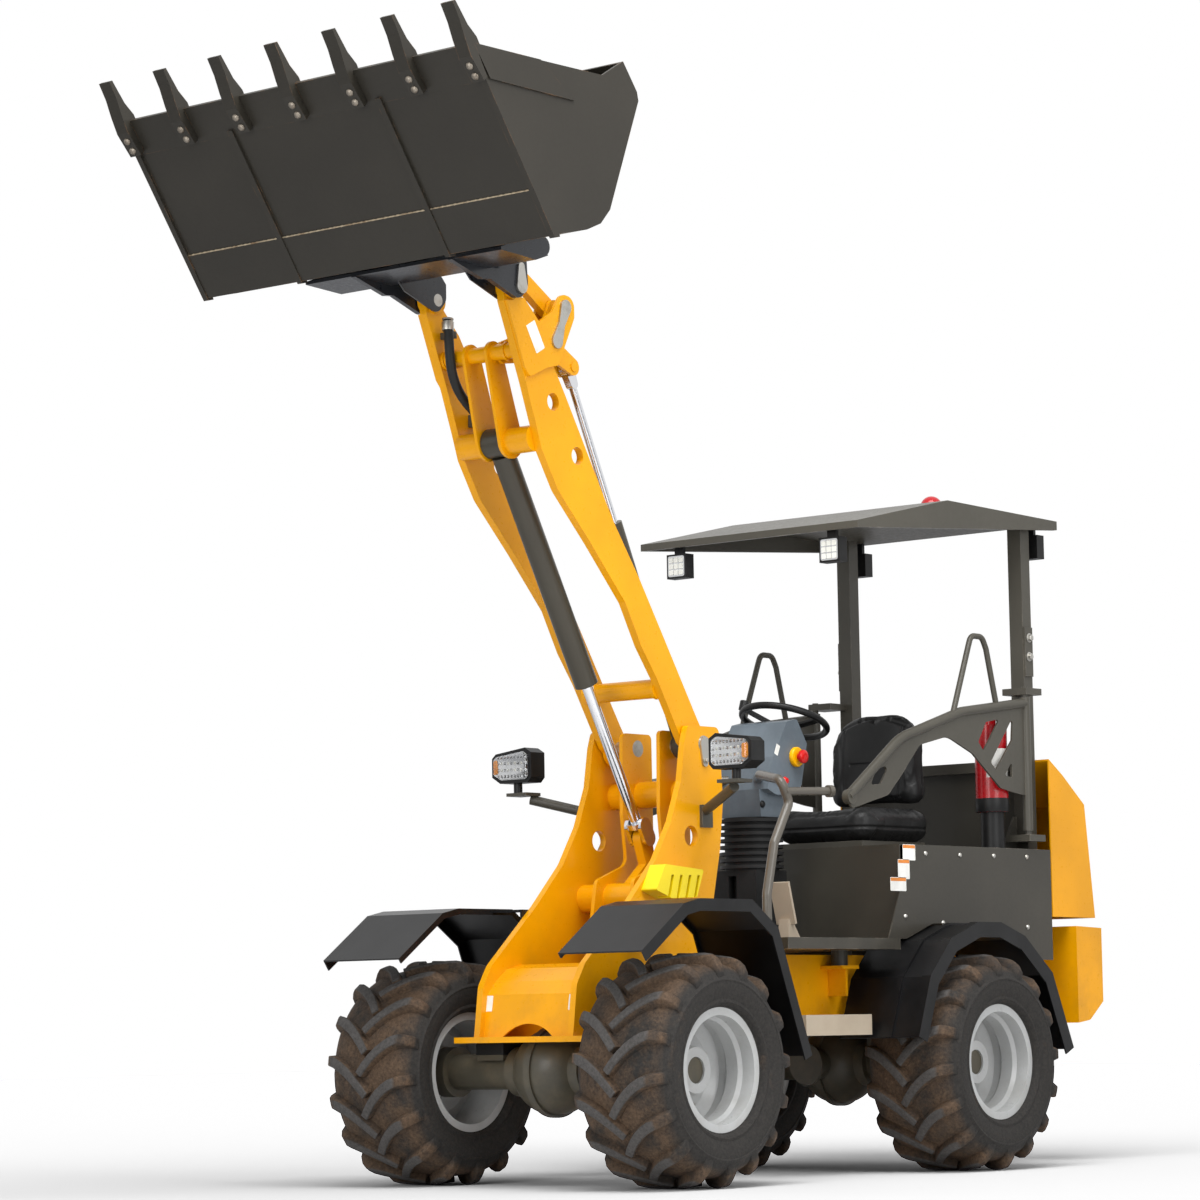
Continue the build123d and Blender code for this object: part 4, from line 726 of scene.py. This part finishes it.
outline = headlamp["outline"]
centreY = sum(y for y, z in outline) / len(outline)
centreZ = sum(z for y, z in outline) / len(outline)
for out, sideName in bothSides:
    for name, depth, drawnIn, finish in headlamp["layers"]:
        deselectAll()
        bpy.ops.mesh.primitive_circle_add(vertices=len(outline), radius=0.05, fill_type="NGON",
                                          location=(0, 0, 0))
        cap = bpy.context.object
        for vertex, (y, z) in zip(cap.data.vertices, outline):
            y += (centreY - y) * drawnIn
            z += (centreZ - z) * drawnIn
            vertex.co = at(headlamp["face"], out * y, z)
        bpy.ops.object.mode_set(mode="EDIT")
        bpy.ops.mesh.select_all(action="SELECT")
        bpy.ops.mesh.bevel(offset=0.005, segments=3, affect="VERTICES")
        bpy.ops.mesh.select_all(action="SELECT")
        bpy.ops.mesh.extrude_region_move(TRANSFORM_OT_translate={"value": (depth, 0, 0)})
        if name == "cover":
            bpy.ops.mesh.inset(thickness=0.008)
            bpy.ops.transform.translate(value=(0.004, 0, 0))
        bpy.ops.mesh.select_all(action="SELECT")
        bpy.ops.mesh.normals_make_consistent(inside=False)
        bpy.ops.object.mode_set(mode="OBJECT")
        finishPiece(cap, "headlamp_%s_%s" % (name, sideName), finish, "front_frame")
    prisms, diodes = [], []
    for rowIndex, z in enumerate(headlamp["rows"]):
        for index in range(headlamp["inRow"]):
            share = index / (headlamp["inRow"] - 1)
            y = headlamp["from"] + (headlamp["to"] - headlamp["from"]) * share
            deselectAll()
            bpy.ops.mesh.primitive_cone_add(vertices=4, radius1=0.0075, radius2=0.002, depth=0.005)
            prism = bpy.context.object
            spot = at(headlamp["face"] + 0.004, out * y, z + 0.002 * share)
            place(prism, spot, (1, 0, 0), math.radians(45 if rowIndex % 2 else 30))
            (diodes if rowIndex in (1, 2) and index % 2 else prisms).append(prism)
    finishPiece(joinAll(prisms), "headlamp_rows_" + sideName, "lampChrome", "front_frame", 20)
    finishPiece(joinAll(diodes), "headlamp_diodes_" + sideName, "diodeWhite", "front_frame",
                20)
    amber = thinPlate(0.022, 0.05, 0.003, 0.008)
    amberY, amberZ = headlamp["amber"]
    place(amber, at(headlamp["face"] + 0.003, out * amberY, amberZ), (1, 0, 0))
    finishPiece(amber, "headlamp_amber_" + sideName, "amberLens", "front_frame")
print("headlamps made")


# Work lamps on the roof: a bezel and three rows of three square diodes

# a pair is (end, x, z, off the centre line, way it faces)
workLamp = {
    "pairs": (("front", -1.185, 2.268, 0.360, 1), ("rear", -2.400, 2.368, 0.412, -1)),
    "ahead": 0.024,
    "plate": 0.078,
    "cell": 0.019,
    "pitch": 0.0235,
}

for end, x, z, reach, facing in workLamp["pairs"]:
    for out, sideName in bothSides:
        ending = "%s_%s" % (end, sideName)
        front = at(x + facing * workLamp["ahead"], out * reach, z)
        backing = thinPlate(workLamp["plate"], workLamp["plate"], 0.0015, 0.008)
        place(backing, front, (facing, 0, 0))
        finishPiece(backing, "worklamp_plate_" + ending, "lampChrome", "rear_frame")
        cells = []
        for row in (-1, 0, 1):
            for column in (-1, 0, 1):
                cell = thinPlate(workLamp["cell"], workLamp["cell"], 0.003, 0.003)
                across, high = column * workLamp["pitch"], row * workLamp["pitch"]
                place(cell, front + Vector((facing * 0.001, across, high)), (facing, 0, 0))
                cells.append(cell)
        finishPiece(joinAll(cells), "worklamp_cells_" + ending, "diodeWhite", "rear_frame")
print("roof lamps made")


# Console: stop button on a yellow ring, a small red button and bare labels

# where it stands, segments, finish and (radius, height) of its rings
controls = {
    "stop_ring": ((-1.230, 0.130, 1.522), 40, "yellowPlastic",
                  [(0.001, 0.0), (0.036, 0.0), (0.037, 0.002), (0.037, 0.012), (0.034, 0.016),
                   (0.026, 0.017), (0.001, 0.017)]),
    "stop_knob": ((-1.230, 0.130, 1.522), 36, "redPlastic",
                  [(0.012, 0.015), (0.013, 0.026), (0.019, 0.028), (0.0245, 0.032), (0.0255, 0.038),
                   (0.024, 0.044), (0.018, 0.048), (0.008, 0.049), (0.0005, 0.0492)]),
    "small_button": ((-1.160, 0.130, 1.432), 24, "redPlastic",
                     [(0.014, 0.0), (0.015, 0.006), (0.012, 0.009), (0.01, 0.015), (0.004, 0.017),
                      (0.0005, 0.017)]),
}

for name, (spot, segments, finish, rings) in controls.items():
    control = lathe(rings, segments)
    place(control, at(*spot), (0, 1, 0))
    finishPiece(control, name, finish, "rear_frame")
label = thinPlate(0.022, 0.040, 0.0006, 0.002)
place(label, at(-1.122, 0.130, 1.545), (0, 1, 0), math.radians(-25))
finishPiece(label, "console_label", "whiteFilm", "rear_frame")
plug = domeRivet(0.014)
place(plug, at(-1.07, 0.096, 1.345), (0, 1, 0))
finishPiece(plug, "console_plug", "blackPlastic", "rear_frame")
print("console controls made")


# Bare labels: the places of the notices, with no words on them

# x, z, width and height
panelLabels = {
    "one": (-1.418, 1.160, 0.078, 0.058),
    "two": (-1.383, 1.098, 0.072, 0.072),
    "three": (-1.347, 1.043, 0.098, 0.050),
}

for name, (x, z, width, height) in panelLabels.items():
    film = thinPlate(width, height, 0.0006, 0.004)
    place(film, at(x, 0.500, z), (0, 1, 0))
    finishPiece(film, "panel_label_" + name, "whiteFilm", "rear_frame")
    strip = thinPlate(width * 0.96, 0.012, 0.0009, 0.002)
    place(strip, at(x, 0.500, z + height / 2 - 0.008), (0, 1, 0))
    finishPiece(strip, "panel_stripe_" + name, "orangeFilm", "rear_frame")
headLabel = thinPlate(0.050, 0.105, 0.0006, 0.003)
place(headLabel, at(0.288, 0.206, 2.900), (0, 1, 0), math.radians(30))
finishPiece(headLabel, "head_label", "whiteFilm", "boom")
print("labels made")


# Fixings that sit on the frame's own faces, found by a ray towards the node

def onFace(node, start, direction):
    bpy.context.view_layer.update()
    hit, point, normal, _ = nodes[node].ray_cast(start, Vector(direction))
    if not hit:
        raise ValueError("no face of %s under a fixing" % node)
    return point, normal


def faceSpots(node, starts, direction):
    return [onFace(node, start, direction) for start in starts]


# places on each side are (x, z) for rays going inwards, and (x, off the centre line) for those going down
fixing = {
    "rivets": [(-1.522, 1.158), (-1.742, 1.157), (-1.963, 1.159), (-2.183, 1.160), (-2.178, 0.894),
               (-1.387, 0.926), (-1.623, 0.905)],
    "postBolts": [(-2.318, 2.009), (-2.315, 1.936)],
    "axleBolts": [(-0.06, 0.252), (0.118, 0.252)],
    "pivotBolt": (-0.571, 1.478),
    "axleNuts": [(-0.052, 0.200), (-0.052, 0.280), (0.052, 0.200), (0.052, 0.280)],
}

for out, sideName in bothSides:
    inwards, down = (0, -out, 0), (0, 0, -1)
    spots = faceSpots("side_panels", [at(x, out * 0.7, z) for x, z in fixing["rivets"]], inwards)
    fixings("panel_rivets_" + sideName, domeRivet(0.0095), spots, "zincSteel", "rear_frame")
    spots = faceSpots("roof_posts", [at(x, out * 0.7, z) for x, z in fixing["postBolts"]], inwards)
    fixings("post_bolts_" + sideName, hexBolt(0.013), spots, "zincSteel", "rear_frame")
    spots = faceSpots("nose_plate", [at(x, out * y, 0.9) for x, y in fixing["axleBolts"]], down)
    fixings("axle_bolts_" + sideName, hexBolt(0.014), spots, "zincSteel", "front_frame")
    film = thinPlate(0.034, 0.055, 0.0006, 0.003)
    place(film, *onFace("nose_plate", at(1.0, out * 0.19, 0.63), (-1, 0, 0)))
    finishPiece(film, "nose_label_" + sideName, "whiteFilm", "front_frame")
    x, z = fixing["pivotBolt"]
    spots = faceSpots("boom_pins", [at(x, out * 0.9, z)], inwards)
    fixings("pivot_bolt_" + sideName, hexBolt(0.009), spots, "zincSteel", "front_frame")
    # rubber blocks between the axle's pads and the flange, with their nuts below
    deselectAll()
    bpy.ops.mesh.primitive_cube_add(size=1.0, location=at(0, out * 0.240, 0.4735))
    block = bpy.context.object
    block.scale = (0.150, 0.128, 0.041)
    applyPlace(block)
    bpy.ops.object.mode_set(mode="EDIT")
    selectFaces(block, lambda face: abs(face.normal.z) < 0.5)
    bpy.ops.mesh.inset(thickness=0.006, use_individual=True)
    bpy.ops.object.mode_set(mode="OBJECT")
    applyModifier(block, "BEVEL", width=0.004, segments=3, limit_method="ANGLE",
                  angle_limit=math.radians(50))
    finishPiece(block, "axle_block_" + sideName, "blackRubber", "front_frame")
    spots = [(at(x, out * y, 0.4532), down) for x, y in fixing["axleNuts"]]
    fixings("axle_nuts_" + sideName, hexBolt(0.011), spots, "zincSteel", "front_frame")
print("rivets and bolts made")


# Bucket: two round bolts under each tooth, and the weld along the heel plate

# a row of bolts is (along the lip, below it)
edge, heel = Vector((1.267, 0.0, 3.651)), Vector((0.875, 0.0, 3.090))
run = (edge - heel).normalized()
under = Vector((run.z, 0.0, -run.x))
toothBolts = {"pitch": 0.262, "count": 7, "rows": ((-0.100, 0.0288), (-0.062, 0.0338)), "size": 0.0135}
spots = []
for number in range(toothBolts["count"]):
    y = (number - toothBolts["count"] // 2) * toothBolts["pitch"]
    for ahead, below in toothBolts["rows"]:
        spots.append((edge + run * ahead + under * below + Vector((axleX, y, 0)), under))
fixings("tooth_bolts", domeRivet(toothBolts["size"]), spots, "wornSteel", "bucket")

weld = {"share": 0.24, "proud": 0.001, "half": 0.79, "step": 0.006, "radius": 0.0042, "ripple": 0.0012}
weldMiddle = heel + (edge - heel) * weld["share"] + under * weld["proud"]
beadRings = [(0.0001, -weld["half"])]
for index in range(264):
    ripple = weld["ripple"] * math.sin(index * 1.7) * math.sin(index * 0.37)
    beadRings.append((weld["radius"] + ripple, index * weld["step"] - weld["half"]))
beadRings.append((0.0001, weld["half"]))
bead = lathe(beadRings, 8)
place(bead, weldMiddle + Vector((axleX, 0, 0)), (0, 1, 0))
finishPiece(bead, "heel_weld", "weldSteel", "bucket", 60)
print("bucket details made")


# Hose at the boom's head: a smooth spline over the route's points, with its end fittings

hosePoints = [(0.378, -0.118, 2.990), (0.383, -0.108, 2.930), (0.384, -0.104, 2.862),
              (0.372, -0.106, 2.800), (0.338, -0.110, 2.745), (0.290, -0.110, 2.700),
              (0.222, -0.106, 2.654)]
hoseEnds = {
    "collar": [(0.006, -0.004), (0.0205, -0.004), (0.0215, 0.0), (0.0215, 0.026), (0.0185, 0.029),
               (0.0185, 0.033), (0.0205, 0.035), (0.0205, 0.039), (0.006, 0.039)],
    "blocks": (((0.3555, -0.134, 2.9375), (0.023, 0.060, 0.025)),
               ((0.209, -0.126, 2.654), (0.038, 0.076, 0.044))),
    "bolt": 0.007,
}

curve = bpy.data.curves.new("hose_line", "CURVE")
curve.dimensions = "3D"
spline = curve.splines.new("NURBS")
spline.points.add(len(hosePoints) - 1)
for point, (x, y, z) in zip(spline.points, hosePoints):
    point.co = (*at(x, y, z), 1.0)
spline.order_u = 3
spline.use_endpoint_u = True
spline.resolution_u = 12
curve.bevel_depth = 0.017
curve.bevel_resolution = 6
curve.use_fill_caps = True
hose = bpy.data.objects.new("hose_line", curve)
bpy.context.scene.collection.objects.link(hose)
hose.data.materials.append(materials["hoseRubber"])
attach(hose, "boom")

collar = lathe(hoseEnds["collar"], 28)
place(collar, at(0.3795, -0.1155, 2.954), (-0.12, -0.10, 1.0))
finishPiece(collar, "hose_collar", "zincSteel", "boom")
clampParts = []
for spot, size in hoseEnds["blocks"]:
    deselectAll()
    bpy.ops.mesh.primitive_cube_add(size=1.0, location=at(*spot))
    block = bpy.context.object
    block.scale = size
    applyPlace(block)
    applyModifier(block, "BEVEL", width=0.003, segments=3)
    bolt = hexBolt(hoseEnds["bolt"])
    place(bolt, at(*spot) + Vector((0, 0, size[2] / 2)))
    clampParts += [block, bolt]
clamps = joinAll(clampParts)
finishPiece(clamps, "hose_clamps", "greyPaint", "boom")
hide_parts("head_hose")
print("head hose made")


# Fire extinguisher: black foot and a bare band

extinguisher = {
    "place": (-2.080, 0.420, 0.0),
    "foot": [(0.0452, 1.1915), (0.0452, 1.329), (0.0625, 1.3302), (0.0640, 1.334), (0.0640, 1.378),
             (0.0632, 1.382), (0.0620, 1.382)],
    "band": [(0.0621, 1.46), (0.0625, 1.4605), (0.0625, 1.5695), (0.0621, 1.57)],
    "bandEdge": 0.018,
}

foot = lathe(extinguisher["foot"], 40)
place(foot, at(*extinguisher["place"]))
finishPiece(foot, "extinguisher_foot", "blackPlastic", "rear_frame")
band = lathe(extinguisher["band"], 40)
bpy.ops.object.mode_set(mode="EDIT")
bpy.ops.mesh.select_all(action="SELECT")
bpy.ops.mesh.bisect(plane_co=(0, extinguisher["bandEdge"], 0), plane_no=(0, 1, 0), clear_inner=True)
bpy.ops.object.mode_set(mode="OBJECT")
place(band, at(*extinguisher["place"]))
finishPiece(band, "extinguisher_band", "whiteFilm", "rear_frame")
print("extinguisher trimmed")


# Camera, light and floor

camera = bpy.data.objects.new("camera", bpy.data.cameras.new("camera"))
bpy.context.scene.collection.objects.link(camera)
camera.data.lens = 121.42
camera.data.sensor_width = 36.0
camera.data.clip_end = 100.0
yaw, pitch, roll = 3.838679705338289, 0.10548450545689432, -0.016777272590782138
forward = Vector((math.cos(pitch) * math.cos(yaw), math.cos(pitch) * math.sin(yaw), math.sin(pitch)))
right = forward.cross(Vector((0, 0, 1))).normalized()
up = right.cross(forward)
rightRolled = math.cos(roll) * right + math.sin(roll) * up
upRolled = -math.sin(roll) * right + math.cos(roll) * up
turn = Matrix((rightRolled, upRolled, -forward)).transposed()
camera.matrix_world = Matrix.Translation(at(10.663562, 9.162541, 0.537789)) @ turn.to_4x4()
bpy.context.scene.camera = camera

# where it hangs, what it points at, its size in metres and its watts
lamps = {
    "skyLight": ((1.5, 2.5, 7.5), (-0.8, 0, 1.0), 5.0, 650.0),
    "sideLight": ((1.0, 7.5, 3.5), (-0.8, 0, 1.2), 4.0, 215.0),
    "frontLight": ((8.0, 1.5, 3.0), (-0.5, 0, 1.4), 4.0, 240.0),
}

for name, (spot, target, size, power) in lamps.items():
    lamp = bpy.data.objects.new(name, bpy.data.lights.new(name, "AREA"))
    bpy.context.scene.collection.objects.link(lamp)
    lamp.data.size = size
    lamp.data.energy = power
    lamp.location = at(*spot)
    lamp.rotation_mode = "QUATERNION"
    lamp.rotation_quaternion = (at(*target) - at(*spot)).to_track_quat("-Z", "Y")

world = bpy.data.worlds.new("world")
bpy.context.scene.world = world
world.use_nodes = True
sky = world.node_tree
sky.nodes.clear()
path = addNode(sky, "ShaderNodeLightPath", {})
direct = addNode(sky, "ShaderNodeMath", {0: path.outputs["Is Camera Ray"],
                                         1: path.outputs["Is Transmission Ray"]}, operation="MAXIMUM")
seen = addNode(sky, "ShaderNodeMath", {0: direct.outputs[0], 1: path.outputs["Is Glossy Ray"]},
               operation="MAXIMUM")
soft = addNode(sky, "ShaderNodeBackground", {"Color": (0.93, 0.95, 1.0, 1.0), "Strength": 0.42})
white = addNode(sky, "ShaderNodeBackground", {"Color": (1.0, 1.0, 1.0, 1.0), "Strength": 1.0})
choose = addNode(sky, "ShaderNodeMixShader", {0: seen.outputs[0], 1: soft.outputs[0], 2: white.outputs[0]})
addNode(sky, "ShaderNodeOutputWorld", {"Surface": choose.outputs[0]})

bpy.ops.mesh.primitive_plane_add(size=60.0, location=(0, 0, 0))
ground = bpy.context.object
ground.name = "ground"
ground.is_shadow_catcher = True
bpy.context.scene.view_settings.view_transform = "Standard"
bpy.context.scene.render.film_transparent = False
print("camera and light set")
